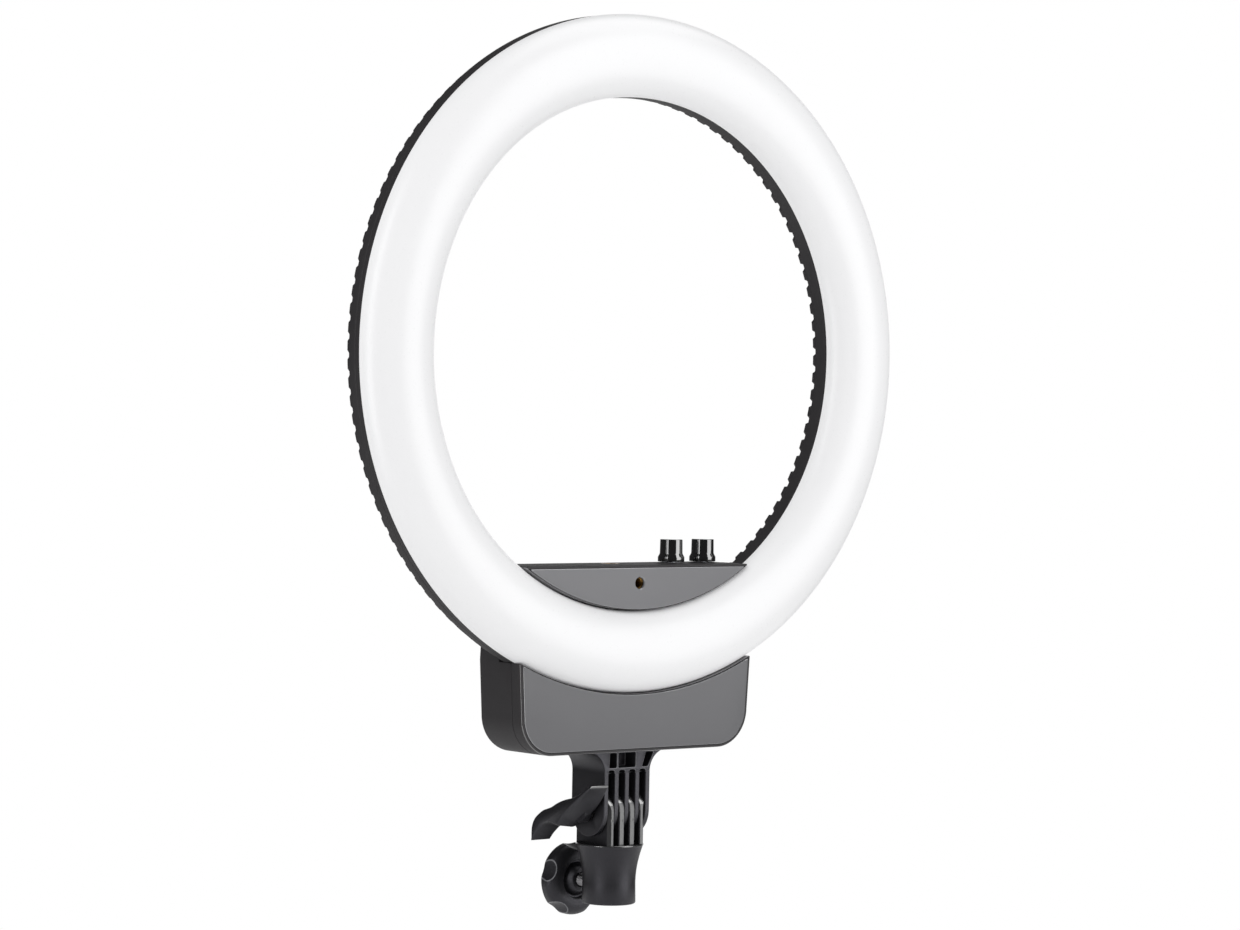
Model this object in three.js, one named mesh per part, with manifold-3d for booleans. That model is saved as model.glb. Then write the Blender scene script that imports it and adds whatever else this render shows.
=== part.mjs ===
// A ring light for photographers, about 0.4 m across, on a clamp for a lighting stand.
// Units are millimetres and +Z is up. The origin is the centre of the stand socket's
// bottom rim, on the axis of its bore, and the light shines towards -Y.
import * as THREE from 'three'
import { mergeVertices } from 'three/addons/utils/BufferGeometryUtils.js'
import Module from 'manifold-3d'

const wasm = await Module()
wasm.setup()

// Clearances that every piece shares
const fit = 0.3 // gap between pieces that touch or are cut by each other
const overrun = 1 // how far a cutting shape runs past the surface that it opens
const weldDistance = 0.0001 // corners closer than this are one corner

// The ring: a milky diffuser on a black housing, measured from the seam between them
const ringOuterRadius = 200
const ringWidth = 48.7
const bulgeDepth = 16.8 // how far the diffuser stands forward of the seam
const diffuserWall = 2.2
const spigotDepth = 3 // lip of the diffuser inside the housing
const housingWall = 2.2
const housingDepth = 13.4 // seam to the back of the vented cover
const coverThickness = 2.8
const outerToothDepth = 1.2
const outerToothInset = 1.2 // tooth tips stand this far inside the housing's rim
const outerTeeth = 120
const outerToothShare = 0.66
const innerToothDepth = 2
const innerToothInset = 0.6
const innerTeeth = 90
const innerToothShare = 0.62
const ringSteps = 72
const bulgeSteps = 8

// Light boards: four quarter rings with light-emitting diodes in two rows
const boardThickness = 1.6
const boardSideGap = 2
const boardCount = 4
const boardEndGapDegrees = 0.8
const boardSteps = 14
const diodeSize = 5
const diodeHeight = 1
const diodesPerBoard = 12
const diodeRowOffset = 9
const boardBite = 0.4 // how deep a part soldered on a board sinks into it

// Screws that hold the ring to the bridge behind it
const ringScrewAnglesDegrees = [-112, -98, -82, -68]
const screwShaftRadius = 1.9
const screwHeadRadius = 3.4
const screwHeadHeight = 2
const screwHoleGap = 0.3
const ringScrewTipGap = 0.4 // from the screw's tip to the floor of the housing
const screwSteps = 10

// The control box below the ring and the camera platform inside it, in the ring's frame
const boxDrop = 34.4 // the box's bottom below the ring
const boxHalfWidthAtBottom = 84.6
const boxSideSlope = 0.058
const boxTopGap = 0.5 // from the ring to the hollow top of the box
const boxCornerRadius = 22.7
const platformPastBox = 0.5 // the platform is this much wider at each tip than the box's foot
const platformGap = 0.5 // from the platform's round side to the ring
const platformTipFlat = 0.9
const bodyFront = -7.2 // front face of the grey panels
const rimFront = -6.6 // front edge of the dark covers round them
const coverSeam = 4.35 // middle of the seam between the front covers and the rear housing
const bodyBack = 34
const bodyWall = 2.4
const panelThickness = 1.7
const boxPanelInset = 1.6
const platformPanelInset = 1.1
const panelBevel = 0.5
const backRounding = 3
const topCornerChamfer = 2
const cornerSteps = 5
const arcSteps = 14

// Long screws from the back that hold the front covers
const boxScrewInset = 18.6 // from the box's side at its foot
const boxScrewLift = 18.4 // above the box's bottom
const platformScrewInset = 25.1 // from the platform's tip
const platformScrewDrop = 6.5 // below the platform's top
const coverScrewRadius = 1.6
const coverScrewHeadRadius = 3
const coverScrewHeadHeight = 1.8
const coverScrewBossRadius = 3.7
const coverScrewTip = -1.5

// Threaded inserts for a camera screw of a quarter of an inch
const insertBoreRadius = 3.175
const frontInsertRadius = 3.9
const frontInsertLength = 9
const frontInsertDrop = 10.4 // below the platform's top
const insertEndWall = 1.2
const insertBossWall = 2.4
const topInsertFlangeRadius = 6
const topInsertFlangeThickness = 1.2
const topInsertRadius = 4.6
const topInsertLength = 9.6
const insertSteps = 24

// The row of controls on the platform, all on one line behind the ring's plane
const controlRowGap = 0.3 // from the dimmers to the bridge's front wall
const knobFromTip = 13 // from the platform's right tip to the last knob's axis
const knobSpacing = 24.8
const knobHeight = 13.5
const knobLift = 0.6 // gap under the knob
const knobTopRadius = 6.8
const knobNeckRadius = 7
const knobFlangeRadius = 8.1
const knobFlangeHeight = 2.8
const knobConeHeight = 2.1
const knobTopRounding = 0.5
const knobRecessRadius = 6.3
const knobRecessDepth = 2.5
const knobRoof = 2.1
const shaftRadius = 2.7
const bushingRadius = 3.4
const bushingTop = 2.4 // above the platform
const potRadius = 5.1
const potDepth = 7.4
const potFloor = 1.1
const potNutRadius = 5.6
const potNutThickness = 1.6
const knobSteps = 20

// Power inlet and rocker switch on the back
const rearControlInset = 34.6 // from the box's side at its foot
const rearControlLift = 26.4 // of the inlet and the switch above the box's bottom
const inletBodyRadius = 5.2
const inletFlangeRadius = 6.6
const inletDepth = 12
const inletFlange = 1.5
const inletBoreRadius = 2.9
const inletPinRadius = 1.05
const inletBoreDepth = 9.5
const inletPinInset = 1.4
const switchWidth = 12.4
const switchHeight = 18.4
const switchDepth = 11
const switchFlange = 1.5
const switchFlangeLap = 1.4
const switchWallShare = 0.11
const rockerTiltDegrees = 12
const rockerPivotInset = 1.6 // the pivot lies this far inside the switch's face
const rockerHalfLength = 6.5
const rockerCrown = 3.6
const rockerDip = 2.9
const rockerShoulder = 1
const rockerBellyHalf = 3
const rockerBelly = 4.2
const rockerSideGap = 0.4

// The driver board inside the box
const driverInset = 50.6 // from the box's side at its foot
const driverLift = 8.4 // above the box's bottom
const driverHeight = 36
const driverStandoff = 5
const driverPostRadius = 2.5
const driverPostInset = 4
const transformerWidth = 14
const transformerHeight = 12
const transformerDepth = 8
const capacitorRadius = 4.2
const capacitorDepth = 8
const chokeWidth = 10
const chokeHeight = 8
const chokeDepth = 7
// Places on the board, in shares of its half width and its height
const transformerPlaceShares = [-0.53, 0.44]
const capacitorPlaceShares = [[0.06, 0.64], [0.38, 0.64]]
const chokePlaceShares = [0.65, 0.25]

// The tilting joint under the box: fins of the fork between fins of the socket
const headDepthOffset = 16.9 // the ring's seam lies this far in front of the joint's axis
const pivotBelowBox = 36.1
const forkHalfDepth = 15.45
const finThickness = 3.2
const finPitch = 7.85
const forkFins = 5
const flareRadius = 13
const flareStart = 23 // above the pivot
const webTop = 26.2
const webThickness = 1.5
const pocketDepth = 10
const pocketCeiling = 1.6
// Left and right edges of the pockets at the web and at their tops, in shares of the half width
const pocketEdgeShares = [
  [-0.84, -0.84, -0.46],
  [-0.39, -0.39, 0.37],
  [0.45, 0.73, 0.87],
]
const pocketRightTopShares = [-0.46, 0.36, 1.24]
const pivotHoleRadius = 3.35
const forkEndSteps = 8
const forkScrewOffset = 11.8
const forkScrewLength = 9.3
const forkScrewPlaces = [-forkScrewOffset, forkScrewOffset]

// The stand socket
const socketFinRadius = 16
const socketPivotHeight = 55.8
const pivotAboveFlange = 20
const flangeRadius = 20.3
const socketFinClip = 19.4
const waistRadius = 15.8
const waistHeight = 12
const footSpread = 0.25 // how much wider the foot is than the waist
const socketFlarePower = 2
const flangeLip = 0.8
const rimChamfer = 0.8
const studBoreRadius = 8.25
const studBoreRoof = 5.8
const socketSteps = 32
const socketLevels = 6

// The clamp screw behind the socket, on an axis along Y
const clampHeight = 10.8
const clampScrewRadius = 3.85
const clampBoreRadius = 4.3
const clampInsertRadius = 5.4
const clampInsertFront = 10.6
const clampInsertLength = 4.4
const padRadius = 3.9
const padFront = 8.6
const padThickness = 2.5
const clampKnobFront = 28.1
const clampKnobBack = 38.2 // of the lobed disc
const clampKnobRadius = 21.2
const clampLobes = 5
const scoopDepth = 2.5
const scoopHalfDegrees = 17.5
const firstScoopDegrees = 88
const clampKnobRounding = 1.6
const clampCapRadius = 18.8 // round cap behind the lobes
const clampCapDepth = 1.7
const clampRecessRadius = 12.2
const clampRecessDepth = 4
const clampHubRadius = 7.6
const clampHubTipRadius = 5.6
const clampHubTip = 26
const clampBlindWall = 1.5
const clampSteps = 20

// The tilt lever on the -X side, measured from the pivot
const leverInner = 20.4
const leverOuter = 33.2
const leverReach = 32.4 // to the hooked end
const leverRise = 17 // to the raised end
const leverHubRadius = 7.8
const leverHubInner = 19.1
const leverHubDepth = 5.6
const washerRadius = 7
const washerThickness = 1.2
const boltRadius = 3
const boltHeadRadius = 5.8
const boltHeadThickness = 4.2
const boltPocketGap = 0.4
const nutThickness = 4.8
const boltEndPastNut = 0.8
// Outline of the lever in shares of its reach (+Y) and its rise (+Z), from the raised end
// over the top to the hooked end. The two lower edges are where it meets its two sides.
const leverTopShares = [
  [-0.72, 1], [-0.645, 0.98], [-0.42, 0.7], [-0.19, 0.525], [0.046, 0.41], [0.25, 0.27],
  [0.454, 0.077], [0.66, -0.05], [0.806, -0.22], [0.923, -0.41], [0.994, -0.7], [1, -1.15],
]
const leverOuterUnderShares = [
  [0.955, -1.16], [0.873, -0.9], [0.698, -0.57], [0.515, -0.425], [0.37, -0.45],
  [0.222, -0.5], [0.065, -0.17], [-0.09, 0.07], [-0.23, 0.265], [-0.37, 0.465],
  [-0.55, 0.72], [-0.7, 0.9],
]
const leverInnerUnderShares = [
  [0.955, -1.16], [0.836, -0.93], [0.69, -0.71], [0.617, -0.64], [0.42, -0.63],
  [0.25, -0.61], [0.035, -0.42], [-0.14, -0.22], [-0.318, 0.03], [-0.472, 0.31],
  [-0.574, 0.58], [-0.66, 0.84],
]

// Places that follow from the sizes above
const ringHalfWidth = ringWidth / 2
const ringInnerRadius = ringOuterRadius - ringWidth
const ringMiddleRadius = ringOuterRadius - ringHalfWidth
const floorBack = housingDepth - coverThickness - fit
const floorFront = floorBack - housingWall
const bridgeFront = housingDepth + fit
const controlRowDepth = bridgeFront + bodyWall + potRadius + controlRowGap
const boxTopRadius = ringOuterRadius + boxTopGap
const boxBottom = -ringOuterRadius - boxDrop
const platformRadius = ringInnerRadius - platformGap
const platformHalfWidth = boxHalfWidthAtBottom + platformPastBox
const platformTop = -Math.sqrt(platformRadius ** 2 - platformHalfWidth ** 2)
const innerBack = bodyBack - bodyWall
const frontCoverBack = coverSeam - fit / 2
const rearHousingFront = coverSeam + fit / 2
const recessFloor = bodyFront + panelThickness + fit
const frontWallBack = recessFloor + bodyWall
const pivotZ = boxBottom - pivotBelowBox
const ringCentreHeight = socketPivotHeight - pivotZ
const pivotDepth = headDepthOffset
const flangeHeight = socketPivotHeight - pivotAboveFlange
const studBoreDepth = flangeHeight - studBoreRoof
const forkTop = boxBottom - fit - pivotZ
const forkHalfWidth = finPitch * (forkFins - 1) / 2 + finThickness / 2
const platformFloor = platformTop - bodyWall
const boxScrewHeight = boxBottom + boxScrewLift
const platformScrewHeight = platformTop - platformScrewDrop
const boxScrewSpread = boxHalfWidthAtBottom - boxScrewInset
const platformScrewSpread = platformHalfWidth - platformScrewInset
const boxScrewPlaces = [-boxScrewSpread, boxScrewSpread].map((x) => [x, boxScrewHeight])
const platformScrewPlaces = [-platformScrewSpread, platformScrewSpread]
  .map((x) => [x, platformScrewHeight])
const frontInsertPlace = [0, platformTop - frontInsertDrop]
const lastKnobOffset = platformHalfWidth - knobFromTip
const knobPlaces = [lastKnobOffset - knobSpacing, lastKnobOffset]
const rearControlSpread = boxHalfWidthAtBottom - rearControlInset
const inletPlace = [rearControlSpread, boxBottom + rearControlLift]
const switchPlace = [-rearControlSpread, boxBottom + rearControlLift]
const driverHalfWidth = boxHalfWidthAtBottom - driverInset
const driverBottom = boxBottom + driverLift
const driverTop = driverBottom + driverHeight
const driverFront = innerBack - driverStandoff - boardThickness

const colours = {
  milky: { color: 0xf4f4f4, roughness: 0.35, metalness: 0 },
  black: { color: 0x2c2b2e, roughness: 0.55, metalness: 0 },
  grey: { color: 0x77787c, roughness: 0.5, metalness: 0 },
  gloss: { color: 0x0c0c0c, roughness: 0.1, metalness: 0 },
  nylon: { color: 0x38383b, roughness: 0.6, metalness: 0 },
  steel: { color: 0xb4b4b8, roughness: 0.35, metalness: 1 },
  brass: { color: 0xb58e4a, roughness: 0.35, metalness: 1 },
  board: { color: 0xe8e8e4, roughness: 0.6, metalness: 0 },
  driver: { color: 0x2d6b3f, roughness: 0.6, metalness: 0 },
}

const radians = (degrees) => degrees * Math.PI / 180

// Six times the volume inside a closed surface, negative where its faces point inwards.
function signedVolume(places, corners) {
  const a = new THREE.Vector3(), b = new THREE.Vector3(), c = new THREE.Vector3()
  let sum = 0
  for (let i = 0; i < corners.length; i += 3) {
    a.fromArray(places, corners[i] * 3)
    b.fromArray(places, corners[i + 1] * 3)
    c.fromArray(places, corners[i + 2] * 3)
    sum += a.dot(b.cross(c))
  }
  return sum
}

// A closed surface as a solid that can be joined and cut, with its faces pointing out.
function solid(geometry) {
  const bare = geometry.clone()
  bare.deleteAttribute('normal')
  bare.deleteAttribute('uv')
  const merged = mergeVertices(bare, weldDistance)
  const places = merged.attributes.position.array
  const corners = []
  for (let i = 0; i < merged.index.count; i += 3) {
    const [a, b, c] = merged.index.array.slice(i, i + 3)
    if (a !== b && b !== c && c !== a) corners.push(a, b, c)
  }
  if (signedVolume(places, corners) < 0) corners.reverse()
  const mesh = new wasm.Mesh({
    numProp: 3,
    vertProperties: Float32Array.from(places),
    triVerts: Uint32Array.from(corners),
  })
  return new wasm.Manifold(mesh)
}

// Flat outlines are lists of points. These turn one into a bar along X, Y or Z: an
// outline for X holds (y, z) points, one for Y holds (x, z) and one for Z holds (x, y).
const axesForX = [[0, 1, 0], [0, 0, 1], [1, 0, 0]]
const axesForY = [[1, 0, 0], [0, 0, 1], [0, -1, 0]]
const axesForZ = [[1, 0, 0], [0, 1, 0], [0, 0, 1]]

function placed(geometry, axes, start) {
  const [across, up, along] = axes.map((axis) => new THREE.Vector3(...axis))
  const turn = new THREE.Matrix4().makeBasis(across, up, along)
  geometry.applyMatrix4(turn)
  geometry.translate(along.x * start, along.y * start, along.z * start)
  return solid(geometry)
}

function shapeOf(points) {
  return new THREE.Shape(points.map(([a, b]) => new THREE.Vector2(a, b)))
}

function bar(points, axes, start, length, options = {}) {
  const settings = { depth: length, bevelEnabled: false, curveSegments: 1, ...options }
  return placed(new THREE.ExtrudeGeometry(shapeOf(points), settings), axes, start)
}

const barX = (points, left, right) => bar(points, axesForX, left, right - left)
const barY = (points, front, back) => bar(points, axesForY, -back, back - front)
const barZ = (points, bottom, top) => bar(points, axesForZ, bottom, top - bottom)

// A solid through outlines with equally many points, one at each level along an axis.
function stack(levels, axes) {
  const [across, up, along] = axes
  const count = levels[0].outline.length
  const places = []
  for (const { at, outline } of levels) {
    for (const [a, b] of outline) {
      for (const k of [0, 1, 2]) places.push(across[k] * a + up[k] * b + along[k] * at)
    }
  }
  const corners = []
  for (let level = 0; level < levels.length - 1; level++) {
    for (let i = 0; i < count; i++) {
      const here = level * count + i
      const next = level * count + (i + 1) % count
      corners.push(here, next, next + count, here, next + count, here + count)
    }
  }
  const ends = [[0, true], [levels.length - 1, false]]
  for (const [level, facesBack] of ends) {
    const contour = levels[level].outline.map(([a, b]) => new THREE.Vector2(a, b))
    const clockwise = THREE.ShapeUtils.isClockWise(contour)
    for (const face of THREE.ShapeUtils.triangulateShape(contour, [])) {
      const turned = THREE.ShapeUtils.isClockWise(face.map((i) => contour[i]))
      const ordered = (turned === clockwise) === facesBack ? [...face].reverse() : face
      corners.push(...ordered.map((i) => level * count + i))
    }
  }
  const geometry = new THREE.BufferGeometry()
  geometry.setAttribute('position', new THREE.Float32BufferAttribute(places, 3))
  geometry.setIndex(corners)
  return solid(geometry)
}

// A turned solid: its profile holds (radius, height) points, and its axis is Y or Z.
function turnedY(profile, steps) {
  const points = [...profile, profile[0]].map(([r, h]) => new THREE.Vector2(r, h))
  return solid(new THREE.LatheGeometry(points, steps))
}

function turnedZ(profile, steps) {
  const points = [...profile, profile[0]].map(([r, h]) => new THREE.Vector2(r, h))
  return solid(new THREE.LatheGeometry(points, steps).rotateX(Math.PI / 2))
}

function arc(centre, radius, from, to, steps) {
  const points = []
  for (let i = 0; i <= steps; i++) {
    const angle = from + (to - from) * i / steps
    points.push([centre[0] + radius * Math.cos(angle), centre[1] + radius * Math.sin(angle)])
  }
  return points
}

const circle = (centre, radius, steps) =>
  arc(centre, radius, 0, 2 * Math.PI * (1 - 1 / steps), steps - 1)

function rectangle(low, high) {
  return [[low[0], low[1]], [high[0], low[1]], [high[0], high[1]], [low[0], high[1]]]
}

const rodX = (centre, radius, left, right, steps) =>
  barX(circle(centre, radius, steps), left, right)
const rodY = (centre, radius, front, back, steps) =>
  barY(circle(centre, radius, steps), front, back)
const rodZ = (centre, radius, bottom, top, steps) =>
  barZ(circle(centre, radius, steps), bottom, top)

const joined = (first, ...others) => others.reduce((sum, other) => sum.add(other), first)
const cut = (first, ...tools) => tools.reduce((rest, tool) => rest.subtract(tool), first)

// The named piece: a mesh of a solid, with flat faces and a material of its own.
function piece(name, shape, look) {
  const { vertProperties, triVerts } = shape.getMesh()
  const geometry = new THREE.BufferGeometry()
  geometry.setAttribute('position', new THREE.BufferAttribute(vertProperties, 3))
  geometry.setIndex(new THREE.BufferAttribute(triVerts, 1))
  const flat = geometry.toNonIndexed()
  flat.computeVertexNormals()
  const mesh = new THREE.Mesh(flat, new THREE.MeshStandardMaterial(look))
  mesh.name = name
  return mesh
}

// Outlines of the control box, the platform and the housing behind both, drawn in by inset.
function mirrored(rightHalf) {
  return [...rightHalf, ...rightHalf.map(([x, z]) => [-x, z]).reverse()]
}

function boxSide(inset) {
  const corner = boxCornerRadius - inset
  const centreZ = boxBottom + boxCornerRadius
  const halfWidth = boxHalfWidthAtBottom + boxSideSlope * boxCornerRadius - inset
  return arc([halfWidth - corner, centreZ], corner, -Math.PI / 2, 0, cornerSteps)
}

// The corner where the box's slanted side meets its round hollow top.
function boxTopCorner(inset) {
  const radius = boxTopRadius + inset
  const offset = boxHalfWidthAtBottom - boxSideSlope * boxBottom - inset
  const slopeTerm = 1 + boxSideSlope ** 2
  const root = (offset * boxSideSlope) ** 2 - slopeTerm * (offset ** 2 - radius ** 2)
  const z = (-offset * boxSideSlope - Math.sqrt(root)) / slopeTerm
  return [offset + boxSideSlope * z, z]
}

function boxOutline(inset) {
  const [x, z] = boxTopCorner(inset)
  const from = Math.atan2(z, x)
  const half = arc([0, 0], boxTopRadius + inset, from, -Math.PI / 2, arcSteps / 2)
  return mirrored([...boxSide(inset), ...half.slice(0, -1)]).toSpliced(
    cornerSteps + 1 + arcSteps / 2, 0, [0, -boxTopRadius - inset])
}

function platformOutline(inset) {
  const radius = platformRadius - inset
  const top = platformTop - inset
  const tip = Math.sqrt(radius ** 2 - top ** 2) - platformTipFlat
  const from = Math.atan2(-Math.sqrt(radius ** 2 - tip ** 2), tip)
  const below = arc([0, 0], radius, -Math.PI - from, from, arcSteps)
  return [...below, [tip, top], [-tip, top]]
}

function housingOutline(inset) {
  const [x, z] = boxTopCorner(0)
  const tip = platformHalfWidth
  return mirrored([
    ...boxSide(inset),
    [x - inset, z],
    [tip - inset, platformTop - topCornerChamfer - inset],
    [tip - topCornerChamfer - inset, platformTop - inset],
  ])
}

function diffuserRing() {
  const lip = housingWall + fit
  const inner = lip + diffuserWall
  const outerArc = arc([0, 0], 1, 0, Math.PI, bulgeSteps)
    .map(([a, b]) => [ringMiddleRadius + ringHalfWidth * a, -bulgeDepth * b])
  const innerArc = arc([0, 0], 1, 0, Math.PI, bulgeSteps / 2 + 1).slice(1, -1).reverse().map(([a, b]) => [
    ringMiddleRadius + (ringHalfWidth - inner) * a, -(bulgeDepth - diffuserWall) * b])
  return turnedY([
    ...outerArc,
    [ringInnerRadius + lip, 0], [ringInnerRadius + lip, spigotDepth],
    [ringInnerRadius + inner, spigotDepth],
    ...innerArc,
    [ringOuterRadius - inner, spigotDepth],
    [ringOuterRadius - lip, spigotDepth], [ringOuterRadius - lip, 0],
  ], ringSteps)
}

const ringScrewPlaces = ringScrewAnglesDegrees.map((degrees) => [
  ringMiddleRadius * Math.cos(radians(degrees)),
  ringMiddleRadius * Math.sin(radians(degrees)),
])

function ringScrewHoles(front, back) {
  const radius = screwShaftRadius + screwHoleGap
  return ringScrewPlaces.map((place) => rodY(place, radius, front, back, screwSteps))
}

function ringHousing() {
  const tray = turnedY([
    [ringOuterRadius, fit], [ringOuterRadius, floorBack],
    [ringInnerRadius, floorBack], [ringInnerRadius, fit],
    [ringInnerRadius + housingWall, fit], [ringInnerRadius + housingWall, floorFront],
    [ringOuterRadius - housingWall, floorFront], [ringOuterRadius - housingWall, fit],
  ], ringSteps)
  return cut(tray, ...ringScrewHoles(floorFront - overrun, floorBack + overrun))
}

function toothed(tipRadius, gapRadius, teeth, toothShare) {
  const points = []
  for (let i = 0; i < teeth; i++) {
    const half = toothShare / 2
    for (const [offset, radius] of [
      [-half, gapRadius], [-half, tipRadius], [half, tipRadius], [half, gapRadius],
    ]) {
      const angle = 2 * Math.PI * (i + offset) / teeth
      points.push([radius * Math.cos(angle), radius * Math.sin(angle)])
    }
  }
  return points
}

function ringBackCover() {
  const outerTip = ringOuterRadius - outerToothInset
  const innerTip = ringInnerRadius + innerToothInset
  const shape = shapeOf(toothed(outerTip, outerTip - outerToothDepth, outerTeeth, outerToothShare))
  const opening = toothed(innerTip, innerTip + innerToothDepth, innerTeeth, innerToothShare)
  shape.holes.push(shapeOf(opening))
  const settings = { depth: coverThickness, bevelEnabled: false, curveSegments: 1 }
  const plate = placed(new THREE.ExtrudeGeometry(shape, settings), axesForY, -housingDepth)
  return cut(plate, ...ringScrewHoles(floorBack, bridgeFront + overrun))
}

function lightBoard(index) {
  const inner = ringInnerRadius + housingWall + boardSideGap
  const outer = ringOuterRadius - housingWall - boardSideGap
  const start = radians(360 * index / boardCount + boardEndGapDegrees)
  const end = radians(360 * (index + 1) / boardCount - boardEndGapDegrees)
  const outline = [
    ...arc([0, 0], outer, start, end, boardSteps),
    ...arc([0, 0], inner, end, start, boardSteps),
  ]
  const back = floorFront - fit
  const front = back - boardThickness
  let board = barY(outline, front, back)
  for (let i = 0; i < diodesPerBoard; i++) {
    const angle = start + (end - start) * (i + 1 / 2) / diodesPerBoard
    const radius = ringMiddleRadius + (i % 2 ? diodeRowOffset : -diodeRowOffset)
    const half = diodeSize / 2
    const diode = barY(rectangle([-half, -half], [half, half]), front - diodeHeight,
      front + boardBite).rotate([0, -angle * 180 / Math.PI, 0])
    board = board.add(diode.translate([radius * Math.cos(angle), 0, radius * Math.sin(angle)]))
  }
  return board
}

function panHeadScrew(tip, seat, shaft, head, headHeight) {
  return turnedY([
    [0, tip], [shaft, tip], [shaft, seat], [head, seat], [head, seat + headHeight / 2],
    [head - headHeight / 2, seat + headHeight], [0, seat + headHeight],
  ], screwSteps)
}

function ringScrew([x, z]) {
  const seat = bridgeFront + bodyWall + fit
  const tip = floorFront + ringScrewTipGap
  return panHeadScrew(tip, seat, screwShaftRadius, screwHeadRadius, screwHeadHeight)
    .translate([x, 0, z])
}

// A dark cover round a grey panel: a shallow tray, open at the back, recessed at the front.
function frontCover(outline, panelInset) {
  return cut(
    barY(outline(0), rimFront, frontCoverBack),
    barY(outline(panelInset), rimFront - overrun, recessFloor),
    barY(outline(bodyWall), frontWallBack, frontCoverBack + overrun),
  )
}

function frontPanel(outline, panelInset) {
  const edge = panelInset + fit
  return stack([
    { at: -(recessFloor - fit), outline: outline(edge) },
    { at: -(bodyFront + panelBevel), outline: outline(edge) },
    { at: -bodyFront, outline: outline(edge + panelBevel) },
  ], axesForY)
}

function coverBosses(places) {
  const front = frontWallBack - overrun / 2
  return places.map((place) =>
    rodY(place, coverScrewBossRadius, front, frontCoverBack, screwSteps))
}

function coverScrewHoles(places, front, back) {
  return places.map((place) =>
    rodY(place, coverScrewRadius + screwHoleGap, front, back, screwSteps))
}

function boxFrontCover() {
  const places = boxScrewPlaces
  const shell = joined(frontCover(boxOutline, boxPanelInset), ...coverBosses(places))
  return cut(shell, ...coverScrewHoles(places, coverScrewTip - fit, frontCoverBack + overrun))
}

function platformFrontCover() {
  const places = platformScrewPlaces
  const socket = frontInsertRadius + fit
  const insertBack = bodyFront + frontInsertLength
  const shell = joined(
    frontCover(platformOutline, platformPanelInset), ...coverBosses(places),
    rodY(frontInsertPlace, socket + insertBossWall, frontWallBack - overrun / 2,
      insertBack, insertSteps),
  )
  return cut(
    shell, ...coverScrewHoles(places, coverScrewTip - fit, frontCoverBack + overrun),
    rodY(frontInsertPlace, socket, rimFront - overrun, insertBack + overrun, insertSteps),
  )
}

function platformFrontPanel() {
  const hole = rodY(frontInsertPlace, frontInsertRadius + fit, bodyFront - overrun,
    recessFloor + overrun, insertSteps)
  return cut(frontPanel(platformOutline, platformPanelInset), hole)
}

function frontThreadInsert() {
  const back = bodyFront + frontInsertLength
  const [x, z] = frontInsertPlace
  return turnedY([
    [insertBoreRadius, bodyFront], [frontInsertRadius, bodyFront],
    [frontInsertRadius, back], [0, back],
    [0, back - insertEndWall], [insertBoreRadius, back - insertEndWall],
  ], insertSteps).translate([x, 0, z])
}

function topThreadInsert() {
  const under = platformTop - topInsertFlangeThickness
  const bottom = platformTop - topInsertLength
  return turnedZ([
    [0, bottom], [topInsertRadius, bottom], [topInsertRadius, under],
    [topInsertFlangeRadius, under], [topInsertFlangeRadius, platformTop],
    [insertBoreRadius, platformTop], [insertBoreRadius, bottom + insertEndWall],
    [0, bottom + insertEndWall],
  ], insertSteps).translate([0, controlRowDepth, 0])
}

const coverScrewPlaces = [...boxScrewPlaces, ...platformScrewPlaces]
const driverPostPlaces = [-1, 1].flatMap((side) => [driverBottom, driverTop].map((z) => [
  side * (driverHalfWidth - driverPostInset),
  z === driverTop ? z - driverPostInset : z + driverPostInset,
]))

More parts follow.
